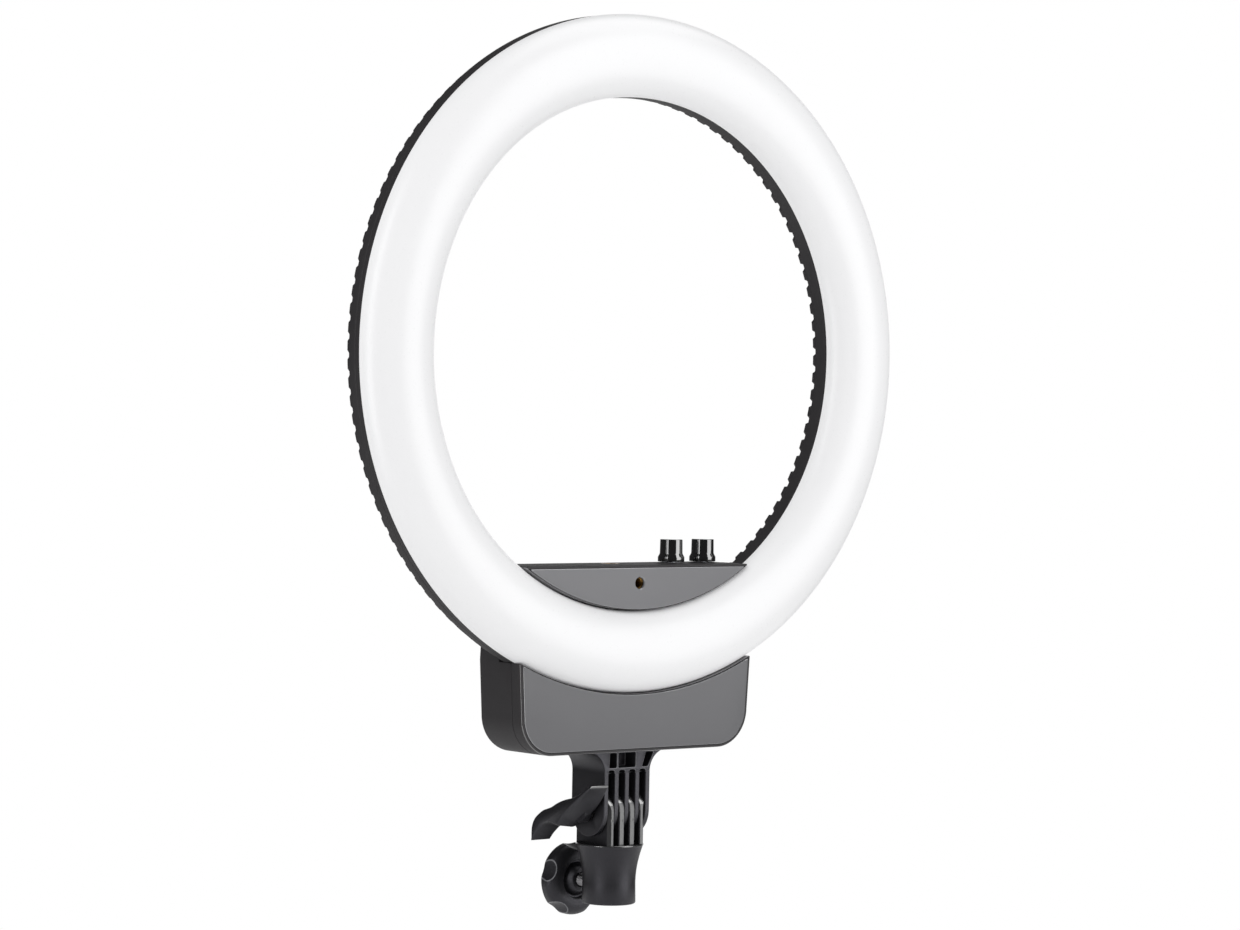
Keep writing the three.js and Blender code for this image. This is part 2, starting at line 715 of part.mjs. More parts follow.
// One moulding behind everything: the back of the box, the bridge behind the ring and
// the back of the platform, hollow throughout and open towards the two front covers.
function rearHousing() {
  const lap = bridgeFront + bodyWall
  const soft = backRounding * (1 - Math.SQRT1_2)
  const outside = joined(
    stack([
      { at: -bridgeFront, outline: housingOutline(0) },
      { at: -(bodyBack - backRounding), outline: housingOutline(0) },
      { at: -(bodyBack - soft), outline: housingOutline(soft) },
      { at: -bodyBack, outline: housingOutline(backRounding) },
    ], axesForY),
    barY(boxOutline(0), rearHousingFront, lap),
    barY(platformOutline(0), rearHousingFront, lap),
  )
  const inside = joined(
    barY(housingOutline(bodyWall), lap, innerBack),
    barY(boxOutline(bodyWall), rearHousingFront - overrun, lap + overrun),
    barY(platformOutline(bodyWall), rearHousingFront - overrun, lap + overrun),
  )
  const postBack = innerBack + bodyWall / 2
  const boss = topInsertRadius + fit + insertBossWall
  const bossBottom = platformTop - topInsertLength
  const flangeSeat = platformTop - topInsertFlangeThickness - fit
  const shell = joined(
    cut(outside, inside),
    ...coverScrewPlaces.map((place) =>
      rodY(place, coverScrewBossRadius, rearHousingFront, postBack, screwSteps)),
    ...driverPostPlaces.map((place) => rodY(place, driverPostRadius,
      driverFront + boardThickness + fit, postBack, screwSteps)),
    rodZ([0, controlRowDepth], boss, bossBottom, platformFloor + bodyWall / 2, insertSteps),
  )
  const centre = [0, controlRowDepth]
  const switchHalf = [switchWidth / 2 + fit, switchHeight / 2 + fit]
  const [switchX, switchZ] = switchPlace
  return cut(
    shell,
    ...coverScrewHoles(coverScrewPlaces, rearHousingFront - overrun, bodyBack + overrun),
    ...ringScrewHoles(bridgeFront - overrun, lap + overrun),
    rodZ(centre, topInsertRadius + fit, bossBottom - overrun, platformTop, insertSteps),
    rodZ(centre, topInsertFlangeRadius + fit, flangeSeat, platformTop + overrun, insertSteps),
    ...knobPlaces.map((x) => rodZ([x, controlRowDepth], bushingRadius + fit,
      platformFloor - overrun, platformTop + overrun, knobSteps)),
    rodY(inletPlace, inletBodyRadius + fit, innerBack - overrun, bodyBack + overrun,
      insertSteps),
    barY(rectangle([switchX - switchHalf[0], switchZ - switchHalf[1]],
      [switchX + switchHalf[0], switchZ + switchHalf[1]]),
    innerBack - overrun, bodyBack + overrun),
    ...forkScrewPlaces.map((x) => rodZ([x, headDepthOffset],
      screwShaftRadius + screwHoleGap, boxBottom - overrun, boxBottom + bodyWall + overrun,
      screwSteps)),
  )
}

function coverScrew([x, z]) {
  return panHeadScrew(coverScrewTip, bodyBack + fit, coverScrewRadius,
    coverScrewHeadRadius, coverScrewHeadHeight).translate([x, 0, z])
}

function potentiometer(x) {
  const shoulder = platformFloor - fit
  const bottom = shoulder - potDepth
  const top = platformTop + bushingTop
  const bore = shaftRadius + fit
  return turnedZ([
    [0, bottom], [potRadius, bottom], [potRadius, shoulder], [bushingRadius, shoulder],
    [bushingRadius, top], [bore, top], [bore, bottom + potFloor], [0, bottom + potFloor],
  ], knobSteps).translate([x, controlRowDepth, 0])
}

function potentiometerShaft(x) {
  const bottom = platformFloor - potDepth + potFloor
  const top = platformTop + knobLift + knobHeight - knobRoof - fit
  return rodZ([x, controlRowDepth], shaftRadius, bottom, top, knobSteps)
}

function potentiometerNut(x) {
  const bottom = platformTop + fit
  return cut(
    rodZ([x, controlRowDepth], potNutRadius, bottom, bottom + potNutThickness, 6),
    rodZ([x, controlRowDepth], bushingRadius + fit, bottom - overrun,
      bottom + potNutThickness + overrun, knobSteps),
  )
}

function controlKnob(x) {
  const bottom = platformTop + knobLift
  const top = bottom + knobHeight
  const bore = shaftRadius + fit
  const neck = bottom + knobFlangeHeight + knobConeHeight
  return turnedZ([
    [bore, bottom + knobRecessDepth], [knobRecessRadius, bottom + knobRecessDepth],
    [knobRecessRadius, bottom], [knobFlangeRadius, bottom],
    [knobFlangeRadius, bottom + knobFlangeHeight], [knobNeckRadius, neck],
    [knobTopRadius, top - knobTopRounding], [knobTopRadius - knobTopRounding, top],
    [0, top], [0, top - knobRoof], [bore, top - knobRoof],
  ], knobSteps).translate([x, controlRowDepth, 0])
}

function powerInlet() {
  const seat = bodyBack + fit
  const face = seat + inletFlange
  const bottom = face - inletBoreDepth
  const [x, z] = inletPlace
  return turnedY([
    [0, seat - inletDepth], [inletBodyRadius, seat - inletDepth], [inletBodyRadius, seat],
    [inletFlangeRadius, seat], [inletFlangeRadius, face], [inletBoreRadius, face],
    [inletBoreRadius, bottom], [inletPinRadius, bottom],
    [inletPinRadius, face - inletPinInset], [0, face - inletPinInset],
  ], insertSteps / 2).translate([x, 0, z])
}

const switchFace = bodyBack + fit + switchFlange
const switchWall = switchWidth * switchWallShare

function switchHousing() {
  const [x, z] = switchPlace
  const frame = (half) => rectangle([x - half[0], z - half[1]], [x + half[0], z + half[1]])
  const body = [switchWidth / 2, switchHeight / 2]
  const lip = body.map((half) => half + switchFlangeLap)
  const hollow = body.map((half) => half - switchWall)
  const seat = bodyBack + fit
  return cut(
    joined(barY(frame(body), seat - switchDepth, switchFace), barY(frame(lip), seat, switchFace)),
    barY(frame(hollow), seat - switchDepth + switchWall, switchFace + overrun),
  )
}

function powerRocker() {
  const [x, z] = switchPlace
  const half = switchWidth / 2 - switchWall - rockerSideGap
  const belly = arc([0, 0], rockerBelly, Math.PI * 5 / 4, Math.PI * 7 / 4, 4)
    .map(([along, deep]) => [deep, along])
  const outline = [
    [rockerCrown, -rockerHalfLength], [rockerDip, 0], [rockerCrown, rockerHalfLength],
    [-rockerShoulder, rockerHalfLength - rockerShoulder],
    ...belly.reverse(),
    [-rockerShoulder, -rockerHalfLength + rockerShoulder],
  ]
  return barX(outline, -half, half).rotate([rockerTiltDegrees, 0, 0])
    .translate([x, switchFace - rockerPivotInset, z])
}

const onDriverBoard = ([across, up]) =>
  [driverHalfWidth * across, driverBottom + driverHeight * up]

function boardBlock(width, height, depth, placeShares) {
  const [x, z] = onDriverBoard(placeShares)
  return barY(rectangle([x - width / 2, z - height / 2], [x + width / 2, z + height / 2]),
    driverFront - depth, driverFront + boardBite)
}

function driverBoard() {
  const outline = rectangle([-driverHalfWidth, driverBottom], [driverHalfWidth, driverTop])
  return joined(
    barY(outline, driverFront, driverFront + boardThickness),
    boardBlock(transformerWidth, transformerHeight, transformerDepth, transformerPlaceShares),
    boardBlock(chokeWidth, chokeHeight, chokeDepth, chokePlaceShares),
    ...capacitorPlaceShares.map((shares) => rodY(onDriverBoard(shares), capacitorRadius,
      driverFront - capacitorDepth, driverFront + boardBite, screwSteps)),
  )
}

// The fork, its screws and the lever are drawn round the pivot as their origin.
const finPlaces = Array.from({ length: forkFins }, (_, i) =>
  finPitch * (i - (forkFins - 1) / 2))

// A fin: half a circle round the pivot with straight sides that run up or down to its end.
function finOutline(radius, end, steps) {
  const up = Math.sign(end)
  const round = arc([0, 0], radius, 0, Math.PI, steps).map(([y, z]) => [y, -up * z])
  return [...round, [-radius, end], [radius, end]]
}

function tiltFork() {
  const half = forkHalfWidth
  const top = forkTop
  const webBottom = webTop - webThickness
  const sweep = Math.asin((top - flareStart) / flareRadius)
  const flare = arc([half + flareRadius, flareStart], flareRadius, Math.PI, Math.PI - sweep,
    cornerSteps)
  const block = barY(mirrored(flare), -forkHalfDepth, forkHalfDepth)
  const fins = finPlaces.map((x) => barX(finOutline(forkHalfDepth, webTop, forkEndSteps),
    x - finThickness / 2, x + finThickness / 2))
  const slots = finPlaces.slice(1).map((x) => barY(
    rectangle([x - finPitch + finThickness / 2, -forkHalfDepth], [x - finThickness / 2, webBottom]),
    -forkHalfDepth - overrun, forkHalfDepth + overrun))
  const pocketTop = top - pocketCeiling
  const pockets = pocketEdgeShares.map(([leftLow, leftHigh, rightLow], i) => barY([
    [half * leftLow, webTop], [half * rightLow, webTop],
    [half * pocketRightTopShares[i], pocketTop], [half * leftHigh, pocketTop],
  ], -forkHalfDepth - overrun, pocketDepth - forkHalfDepth))
  const screwHoles = forkScrewPlaces.map((x) => rodZ([x, 0],
    screwShaftRadius + screwHoleGap, top - forkScrewLength, top + overrun, screwSteps))
  const pivot = rodX([0, 0], pivotHoleRadius, -half - overrun, half + overrun, insertSteps / 2)
  return cut(joined(block, ...fins), ...slots, ...pockets, ...screwHoles, pivot)
}

function forkScrew(x) {
  const seat = boxBottom + bodyWall + fit - pivotZ
  const tip = forkTop - forkScrewLength + fit
  const [shaft, head, height] = [screwShaftRadius, screwHeadRadius, screwHeadHeight]
  return turnedZ([
    [0, tip], [shaft, tip], [shaft, seat], [head, seat], [head, seat + height / 2],
    [head - height / 2, seat + height], [0, seat + height],
  ], screwSteps).translate([x, 0, 0])
}

function leverOutline(underShares) {
  return [...leverTopShares, ...underShares].map(([along, up]) =>
    [leverReach * along, leverRise * up])
}

function hexagon(radius) {
  return arc([0, 0], radius, Math.PI / 6, Math.PI * 11 / 6, 5)
}

function tiltLever() {
  const hub = rodX([0, 0], leverHubRadius, -leverHubInner - leverHubDepth, -leverHubInner,
    insertSteps)
  const paddle = stack([
    { at: -leverOuter, outline: leverOutline(leverOuterUnderShares) },
    { at: -leverInner, outline: leverOutline(leverInnerUnderShares) },
  ], axesForX)
  const pocketDepth = boltHeadThickness + fit + boltPocketGap
  const pocket = barX(hexagon(boltHeadRadius + boltPocketGap), -leverHubInner - pocketDepth,
    -leverHubInner + overrun)
  return cut(joined(paddle, hub), pocket)
}

const boltSeat = -(leverHubInner + fit)
const nutInner = forkHalfWidth + fit

function tiltBolt() {
  const end = nutInner + nutThickness + boltEndPastNut
  return joined(
    barX(hexagon(boltHeadRadius), boltSeat - boltHeadThickness, boltSeat),
    rodX([0, 0], boltRadius, boltSeat - boltHeadThickness / 2, end, insertSteps / 2),
  )
}

function tiltWasher() {
  const inner = -(forkHalfWidth + fit)
  return cut(
    rodX([0, 0], washerRadius, inner - washerThickness, inner, insertSteps),
    rodX([0, 0], pivotHoleRadius, inner - washerThickness - overrun, inner + overrun,
      insertSteps / 2),
  )
}

function tiltNut() {
  return cut(
    barX(hexagon(boltHeadRadius), nutInner, nutInner + nutThickness),
    rodX([0, 0], pivotHoleRadius, nutInner - overrun, nutInner + nutThickness + overrun,
      insertSteps / 2),
  )
}

function standSocket() {
  const wall = []
  for (let i = 0; i < socketLevels; i++) {
    const share = i / socketLevels
    const spread = (flangeRadius - waistRadius) * share ** socketFlarePower
    wall.push([waistRadius + spread, waistHeight + (flangeHeight - waistHeight) * share])
  }
  const footRadius = waistRadius + footSpread
  const sleeve = turnedZ([
    [studBoreRadius, 0], [footRadius - rimChamfer, 0], [footRadius, rimChamfer], ...wall,
    [flangeRadius, flangeHeight - flangeLip], [flangeRadius - flangeLip / 2, flangeHeight],
    [0, flangeHeight], [0, studBoreDepth], [studBoreRadius, studBoreDepth],
  ], socketSteps)
  const fin = (socketPivotHeight - flangeHeight) + flangeLip
  const thickness = finPitch - finThickness - 2 * fit
  const fins = Array.from({ length: forkFins - 1 }, (_, i) => {
    const x = finPitch * (i - (forkFins - 2) / 2)
    return barX(finOutline(socketFinRadius, -fin, forkEndSteps), x - thickness / 2,
      x + thickness / 2).translate([0, 0, socketPivotHeight])
  })
  const clipTop = socketPivotHeight + socketFinRadius + overrun
  const clip = rodZ([0, 0], socketFinClip, 0, clipTop, socketSteps)
  const axis = [0, clampHeight]
  const wallBack = flangeRadius + overrun
  return cut(
    joined(sleeve, ...fins.map((one) => one.intersect(clip))),
    rodX([0, socketPivotHeight], pivotHoleRadius, -flangeRadius, flangeRadius, insertSteps / 2),
    rodY(axis, clampBoreRadius, 0, wallBack, clampSteps),
    rodY(axis, clampInsertRadius + fit, clampInsertFront - fit, wallBack, clampSteps),
  )
}

function clampInsert() {
  const axis = [0, clampHeight]
  const back = clampInsertFront + clampInsertLength
  return cut(
    rodY(axis, clampInsertRadius, clampInsertFront, back, clampSteps),
    rodY(axis, clampBoreRadius, clampInsertFront - overrun, back + overrun, clampSteps),
  )
}

const clampPad = () =>
  rodY([0, clampHeight], padRadius, padFront, padFront + padThickness, clampSteps)

function clampScrew() {
  const front = padFront + padThickness + fit
  const back = clampKnobBack - clampBlindWall - fit
  return rodY([0, clampHeight], clampScrewRadius, front, back, clampSteps)
}

// Five lobes: a round scoop, then the round edge of the lobe beside it, five times over.
function clampKnobOutline() {
  const points = []
  const period = 2 * Math.PI / clampLobes
  const half = radians(scoopHalfDegrees)
  const floor = clampKnobRadius - scoopDepth
  const rise = clampKnobRadius * Math.cos(half) - floor
  const reach = clampKnobRadius * Math.sin(half)
  const scoopRadius = (rise ** 2 + reach ** 2) / (2 * rise)
  const scoopCentre = floor + scoopRadius
  for (let lobe = 0; lobe < clampLobes; lobe++) {
    const middle = radians(firstScoopDegrees) + period * lobe
    for (let i = 0; i <= cornerSteps; i++) {
      const off = -half + 2 * half * i / cornerSteps
      const radius = scoopCentre * Math.cos(off)
        - Math.sqrt(scoopRadius ** 2 - (scoopCentre * Math.sin(off)) ** 2)
      points.push([radius * Math.cos(middle + off), radius * Math.sin(middle + off)])
    }
    const edge = arc([0, 0], clampKnobRadius, middle + half, middle + period - half, 3)
    points.push(...edge.slice(1, -1))
  }
  return points
}

function clampKnob() {
  const rounding = clampKnobRounding
  const length = clampKnobBack - clampKnobFront - 2 * rounding
  const rounded = {
    bevelEnabled: true, bevelThickness: rounding, bevelSize: rounding,
    bevelOffset: -rounding, bevelSegments: 2,
  }
  const disc = bar(clampKnobOutline(), axesForY, -(clampKnobBack - rounding), length, rounded)
  const capBack = clampKnobBack + clampCapDepth
  const cap = turnedY([
    [0, clampKnobBack - rounding], [clampCapRadius, clampKnobBack - rounding],
    [clampCapRadius, capBack - clampCapDepth / 2],
    [clampCapRadius - clampCapDepth / 2, capBack], [0, capBack],
  ], clampSteps)
  const recessBottom = clampKnobFront + clampRecessDepth
  const hub = turnedY([
    [0, clampHubTip], [clampHubTipRadius, clampHubTip],
    [clampHubRadius, recessBottom + overrun], [0, recessBottom + overrun],
  ], clampSteps)
  const recess = rodY([0, 0], clampRecessRadius, clampHubTip - overrun, recessBottom,
    clampSteps)
  const hole = rodY([0, 0], clampBoreRadius, clampHubTip - overrun,
    clampKnobBack - clampBlindWall, clampSteps)
  return cut(joined(cut(joined(disc, cap), recess), hub), hole).translate([0, 0, clampHeight])
}

const model = new THREE.Group()

const head = new THREE.Group()
head.position.set(0, -headDepthOffset, ringCentreHeight)
head.add(
  piece('diffuser_ring', diffuserRing(), colours.milky),
  piece('ring_housing', ringHousing(), colours.black),
  piece('ring_back_cover', ringBackCover(), colours.black),
  piece('box_front_cover', boxFrontCover(), colours.black),
  piece('box_front_panel', frontPanel(boxOutline, boxPanelInset), colours.grey),
  piece('platform_front_cover', platformFrontCover(), colours.black),
  piece('platform_front_panel', platformFrontPanel(), colours.grey),
  piece('rear_housing', rearHousing(), colours.black),
  piece('front_thread_insert', frontThreadInsert(), colours.brass),
  piece('top_thread_insert', topThreadInsert(), colours.brass),
  piece('driver_board', driverBoard(), colours.driver),
  piece('power_inlet', powerInlet(), colours.black),
  piece('switch_housing', switchHousing(), colours.black),
  piece('power_rocker', powerRocker(), colours.gloss),
)
for (let i = 0; i < boardCount; i++) {
  head.add(piece(`light_board_${i + 1}`, lightBoard(i), colours.board))
}
ringScrewPlaces.forEach((place, i) => {
  head.add(piece(`ring_screw_${i + 1}`, ringScrew(place), colours.steel))
})
coverScrewPlaces.forEach((place, i) => {
  head.add(piece(`cover_screw_${i + 1}`, coverScrew(place), colours.steel))
})
const controls = ['brightness', 'colour']
controls.forEach((control, i) => {
  const x = knobPlaces[i]
  head.add(
    piece(`${control}_potentiometer`, potentiometer(x), colours.steel),
    piece(`${control}_shaft`, potentiometerShaft(x), colours.steel),
    piece(`${control}_nut`, potentiometerNut(x), colours.steel),
    piece(`${control}_knob`, controlKnob(x), colours.gloss),
  )
})

const joint = new THREE.Group()
joint.position.set(0, pivotDepth, pivotZ)
joint.add(
  piece('tilt_fork', tiltFork(), colours.nylon),
  piece('tilt_washer', tiltWasher(), colours.steel),
  piece('tilt_nut', tiltNut(), colours.steel),
  piece('tilt_bolt', tiltBolt(), colours.steel),
  piece('tilt_lever', tiltLever(), colours.nylon),
)
forkScrewPlaces.forEach((x, i) => {
  joint.add(piece(`fork_screw_${i + 1}`, forkScrew(x), colours.steel))
})
head.add(joint)

model.add(
  head,
  piece('stand_socket', standSocket(), colours.nylon),
  piece('clamp_insert', clampInsert(), colours.brass),
  piece('clamp_pad', clampPad(), colours.brass),
  piece('clamp_screw', clampScrew(), colours.steel),
  piece('clamp_knob', clampKnob(), colours.nylon),
)

export default model
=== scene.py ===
import bmesh
import bpy
import numpy as np
from mathutils import Matrix


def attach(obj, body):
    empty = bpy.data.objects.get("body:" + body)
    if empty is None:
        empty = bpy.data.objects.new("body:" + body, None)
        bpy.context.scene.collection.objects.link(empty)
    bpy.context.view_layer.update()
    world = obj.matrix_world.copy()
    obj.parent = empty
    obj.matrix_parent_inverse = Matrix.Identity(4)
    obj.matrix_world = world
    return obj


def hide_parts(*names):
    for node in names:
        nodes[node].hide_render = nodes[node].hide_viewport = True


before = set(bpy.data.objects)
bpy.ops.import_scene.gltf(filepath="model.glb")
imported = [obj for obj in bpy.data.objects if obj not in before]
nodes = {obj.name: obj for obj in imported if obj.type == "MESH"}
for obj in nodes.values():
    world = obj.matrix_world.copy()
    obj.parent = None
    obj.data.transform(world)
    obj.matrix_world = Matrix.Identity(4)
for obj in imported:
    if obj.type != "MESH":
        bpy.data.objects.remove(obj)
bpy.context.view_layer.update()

camera = bpy.data.objects.new("camera", bpy.data.cameras.new("camera"))
bpy.context.scene.collection.objects.link(camera)
camera.data.lens = 107.22
camera.data.sensor_width = 36
camera_axes = Matrix((
    (0.77553, -0.63103, 0.01898),
    (-0.00578, 0.02297, 0.99972),
    (-0.63128, -0.77542, 0.01417),
)).transposed().to_4x4()
camera.matrix_world = Matrix.Translation((-1.38429, -1.70341, 0.29163)) @ camera_axes
bpy.context.scene.camera = camera


# The diffuser is a ring of milky acrylic, vacuum formed to a half-round bulge. A lip at each
# rim drops into the black tray behind it. It is smooth and slightly glossy.
ring_centre = np.array([0, -16.9, 326.3])
ring_outer, ring_inner = 200, 151.3
ring_middle = (ring_outer + ring_inner) / 2
ring_half = (ring_outer - ring_inner) / 2
gap = 0.3
bulge = 16.8
milky_wall, tray_wall = 2.2, 2.2
spigot_depth = 3
ring_steps, bulge_steps = 288, 65


def surface(places, loop=False, caps=False):
    """A grid of places: each is joined to the next in its row, which closes on itself, and to
    the same one in the next row. With loop the last row joins the first, and with caps the
    first and the last row are one face each."""
    rows, count = places.shape[:2]
    row = np.arange(rows if loop else rows - 1)[:, None]
    here = np.arange(count)[None, :]
    next_row, beside = (row + 1) % rows, (here + 1) % count
    corners = [row * count + here, row * count + beside,
               next_row * count + beside, next_row * count + here]
    faces = np.stack(corners, -1).reshape(-1, 4).tolist()
    if caps:
        faces += [list(range(count))[::-1], list(range((rows - 1) * count, rows * count))]
    return places.reshape(-1, 3), faces


def turned(profile, steps, axis="y", centre=(0, 0, 0), thread=None):
    """A profile of radii and heights carried round an axis: a point goes to its radius times
    the cosine and the sine of the turn. A thread takes its depth times a triangle wave of
    height over pitch less the turn off the radius, on the heights between its two ends."""
    radius, height = np.asarray(profile, float).T[:, :, None]
    turn = 2 * np.pi * np.arange(steps) / steps
    if thread:
        low, high, pitch, depth = thread
        wave = np.abs(2 * ((height / pitch - turn / (2 * np.pi)) % 1) - 1)
        radius = radius - depth * wave * ((height > low) & (height < high) & (radius > 0))
    across, up = radius * np.cos(turn), radius * np.sin(turn)
    along = np.broadcast_to(height, across.shape)
    order = {"x": (along, across, up), "y": (across, along, up), "z": (across, up, along)}
    return surface(np.stack(order[axis], -1) + centre, loop=profile[0][0] > 0)


def solid(name, *surfaces):
    """One object in metres through closed surfaces in millimetres. Places that meet are made
    one, which closes seams and poles, and the faces are turned outwards."""
    whole = bmesh.new()
    for places, faces in surfaces:
        part = bpy.data.meshes.new(name)
        part.from_pydata(places * 0.001, [], faces)
        whole.from_mesh(part)
        bpy.data.meshes.remove(part)
    bmesh.ops.remove_doubles(whole, verts=whole.verts, dist=1e-7)
    bmesh.ops.recalc_face_normals(whole, faces=whole.faces)
    mesh = bpy.data.meshes.new(name)
    whole.to_mesh(mesh)
    whole.free()
    piece = bpy.data.objects.new(name, mesh)
    bpy.context.scene.collection.objects.link(piece)
    return piece


def dressed(piece, material, sharp=35):
    """The piece with smooth shading, broken at edges sharper than an angle, and its finish."""
    piece.data.shade_smooth()
    piece.data.set_sharp_from_angle(angle=np.radians(sharp))
    piece.data.materials.clear()
    piece.data.materials.append(material)
    return piece


def linear(shade):
    """A colour of 0 to 255 as the eye sees it, as light: ((c + 0.055) / 1.055) ^ 2.4."""
    share = np.array(shade) / 255
    return (*np.where(share > 0.04045, ((share + 0.055) / 1.055) ** 2.4, share / 12.92), 1)


def wired(tree, kind, sockets, **settings):
    """A new shader node of a kind, with its settings. A socket, by name or number, takes the
    value it is given, or a link where it is given another node's output."""
    node = tree.nodes.new("ShaderNode" + kind)
    for name, value in settings.items():
        setattr(node, name, value)
    for socket, value in sockets.items():
        if isinstance(value, bpy.types.NodeSocket):
            tree.links.new(value, node.inputs[socket])
        else:
            node.inputs[socket].default_value = value
    return node


def finish(name, pale, dark, roughness, grain, relief, patch=30, **sockets):
    """A finish with a grain and patches, given in millimetres. Broad noise mixes dark into
    pale, and fine noise sets the roughness between two values and lifts the surface."""
    material = bpy.data.materials.new(name)
    material.use_nodes = True
    tree = material.node_tree
    place = wired(tree, "TexCoord", {}).outputs["Object"]
    broad, fine = [wired(tree, "TexNoise", {"Scale": 1000 / size, "Detail": detail,
                                            "Vector": place}).outputs["Fac"]
                   for size, detail in ((patch, 3), (grain, 2))]
    mix = wired(tree, "Mix", {0: broad, 6: linear(dark), 7: linear(pale)}, data_type="RGBA")
    rough = wired(tree, "MapRange", {"From Min": 0.3, "From Max": 0.7, "To Min": roughness[0],
                                     "To Max": roughness[1], "Value": fine})
    bump = wired(tree, "Bump", {"Distance": relief / 1000, "Height": fine})
    shader = tree.nodes["Principled BSDF"]
    tree.links.new(mix.outputs[2], shader.inputs["Base Color"])
    tree.links.new(rough.outputs["Result"], shader.inputs["Roughness"])
    tree.links.new(bump.outputs["Normal"], shader.inputs["Normal"])
    for socket, value in sockets.items():
        shader.inputs[socket.replace("_", " ")].default_value = value
    return material


milky_acrylic = finish("milky_acrylic", (250, 250, 251), (248, 248, 249), (0.27, 0.33), 1.5,
                       0.0015, patch=60, Specular_IOR_Level=0.3)
lip_out, lip_in = tray_wall + gap, tray_wall + gap + milky_wall
sweep = np.linspace(0, np.pi, bulge_steps)
inner_sweep = np.linspace(np.pi, 0, bulge_steps // 2 + 1)[1:-1]
outside = np.stack([ring_middle + ring_half * np.cos(sweep), -bulge * np.sin(sweep)], -1)
inside = np.stack([ring_middle + (ring_half - lip_in) * np.cos(inner_sweep),
                   -(bulge - milky_wall) * np.sin(inner_sweep)], -1)
diffuser_profile = np.concatenate([
    outside,
    [(ring_inner + lip_out, 0), (ring_inner + lip_out, spigot_depth),
     (ring_inner + lip_in, spigot_depth)],
    inside,
    [(ring_outer - lip_in, spigot_depth), (ring_outer - lip_out, spigot_depth),
     (ring_outer - lip_out, 0)],
])
diffuser = dressed(solid("milky_diffuser", turned(diffuser_profile, ring_steps,
                                                  centre=ring_centre)), milky_acrylic)
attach(diffuser, "head")
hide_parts("diffuser_ring")


# The tray behind the diffuser is a ring of black ABS, injection moulded with a fine matt
# grain. A thin groove runs round its outer wall.
tray_floor_front, tray_floor_back = 8.1, 10.3
groove_depth, groove_at, groove_half = 0.25, 4.2, 0.3
corner_bends = 4


def softened(points, radius):
    """A closed outline whose corners follow the parabola (1-t)^2 A + 2t(1-t) P + t^2 B, from A
    before the corner P to B after it. Both lie a radius from P, or half an edge at most."""
    corner = np.asarray(points, float)
    radius = np.broadcast_to(np.asarray(radius, float), len(corner))
    ends = []
    for neighbour in (np.roll(corner, 1, 0), np.roll(corner, -1, 0)):
        edge = neighbour - corner
        length = np.linalg.norm(edge, axis=1)
        reach = np.minimum(radius, length / 2) / np.maximum(length, 1e-9)
        ends.append((corner + edge * reach[:, None])[:, None])
    t = np.linspace(0, 1, corner_bends + 1)[None, :, None]
    curve = (1 - t) ** 2 * ends[0] + 2 * t * (1 - t) * corner[:, None] + t ** 2 * ends[1]
    return curve[(radius[:, None] > 0) | (np.arange(corner_bends + 1) == 0)]


tray_profile = softened([
    (ring_outer, gap), (ring_outer, groove_at - groove_half),
    (ring_outer - groove_depth, groove_at),
    (ring_outer, groove_at + groove_half), (ring_outer, tray_floor_back),
    (ring_inner, tray_floor_back), (ring_inner, gap),
    (ring_inner + tray_wall, gap), (ring_inner + tray_wall, tray_floor_front),
    (ring_outer - tray_wall, tray_floor_front), (ring_outer - tray_wall, gap),
], [0.5, 0.1, 0.1, 0.1, 0.7, 0.7, 0.5, 0.3, 1, 1, 0.3])
tray = solid("black_tray", turned(tray_profile, ring_steps, centre=ring_centre))
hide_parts("ring_housing")


# The back of the tray is closed by a flat ring of the same ABS with vent notches cut round
# both its rims. Each screw of the bridge passes through it.
cover_front, cover_back = 10.6, 13.4
outer_tips, outer_notch, outer_teeth, outer_share = 198.8, 1.2, 120, 0.66
inner_tips, inner_notch, inner_teeth, inner_share = 151.9, 2, 90, 0.62
flank = 14
vent_chamfer = 0.25
screw_angles = np.radians([-112, -98, -82, -68])
screw_places = ring_middle * np.stack([np.cos(screw_angles), np.sin(screw_angles)], -1)
screw_hole = 1.9 + gap
moulded_black = finish("moulded_black", (50, 48, 50), (42, 40, 42), (0.55, 0.68), 0.45, 0.012,
                       Specular_IOR_Level=0.35)


def toothed(tips, depth, teeth, share, turn):
    """Radii of a toothed rim: the tips' radius, less the depth where the turn times the
    number of teeth is further from a whole turn than half the tooth's share. A flank takes
    one part in flank of a tooth."""
    off = np.abs((turn * teeth / (2 * np.pi) + 0.5) % 1 - 0.5)
    return tips - depth * np.clip((off - share / 2) * flank + 0.5, 0, 1)


def applied(piece):
    """The piece with its modifiers taken up in its mesh."""
    graph = bpy.context.evaluated_depsgraph_get()
    mesh = bpy.data.meshes.new_from_object(piece.evaluated_get(graph))
    piece.modifiers.clear()
    old, piece.data = piece.data, mesh
    bpy.data.meshes.remove(old)
    return piece


def combined(first, operation, *others):
    """The first object joined with, cut by or kept inside each of the others in turn."""
    for other in others:
        step = first.modifiers.new("step", "BOOLEAN")
        step.operation = operation
        step.solver = "MANIFOLD"
        step.object = other
        applied(first)
        bpy.data.objects.remove(other)
    return first


def rod(centre, radius, start, end, axis="y", steps=48):
    """A round bar of one radius along an axis, from one end to the other."""
    profile = [(0, start), (radius, start), (radius, end), (0, end)]
    return solid("rod", turned(profile, steps, axis, centre))


def rods(places, radius, start, end):
    """Round bars square to the ring's plane, at places across and up from its centre."""
    return [rod(ring_centre + (x, 0, z), radius, start, end) for x, z in places]


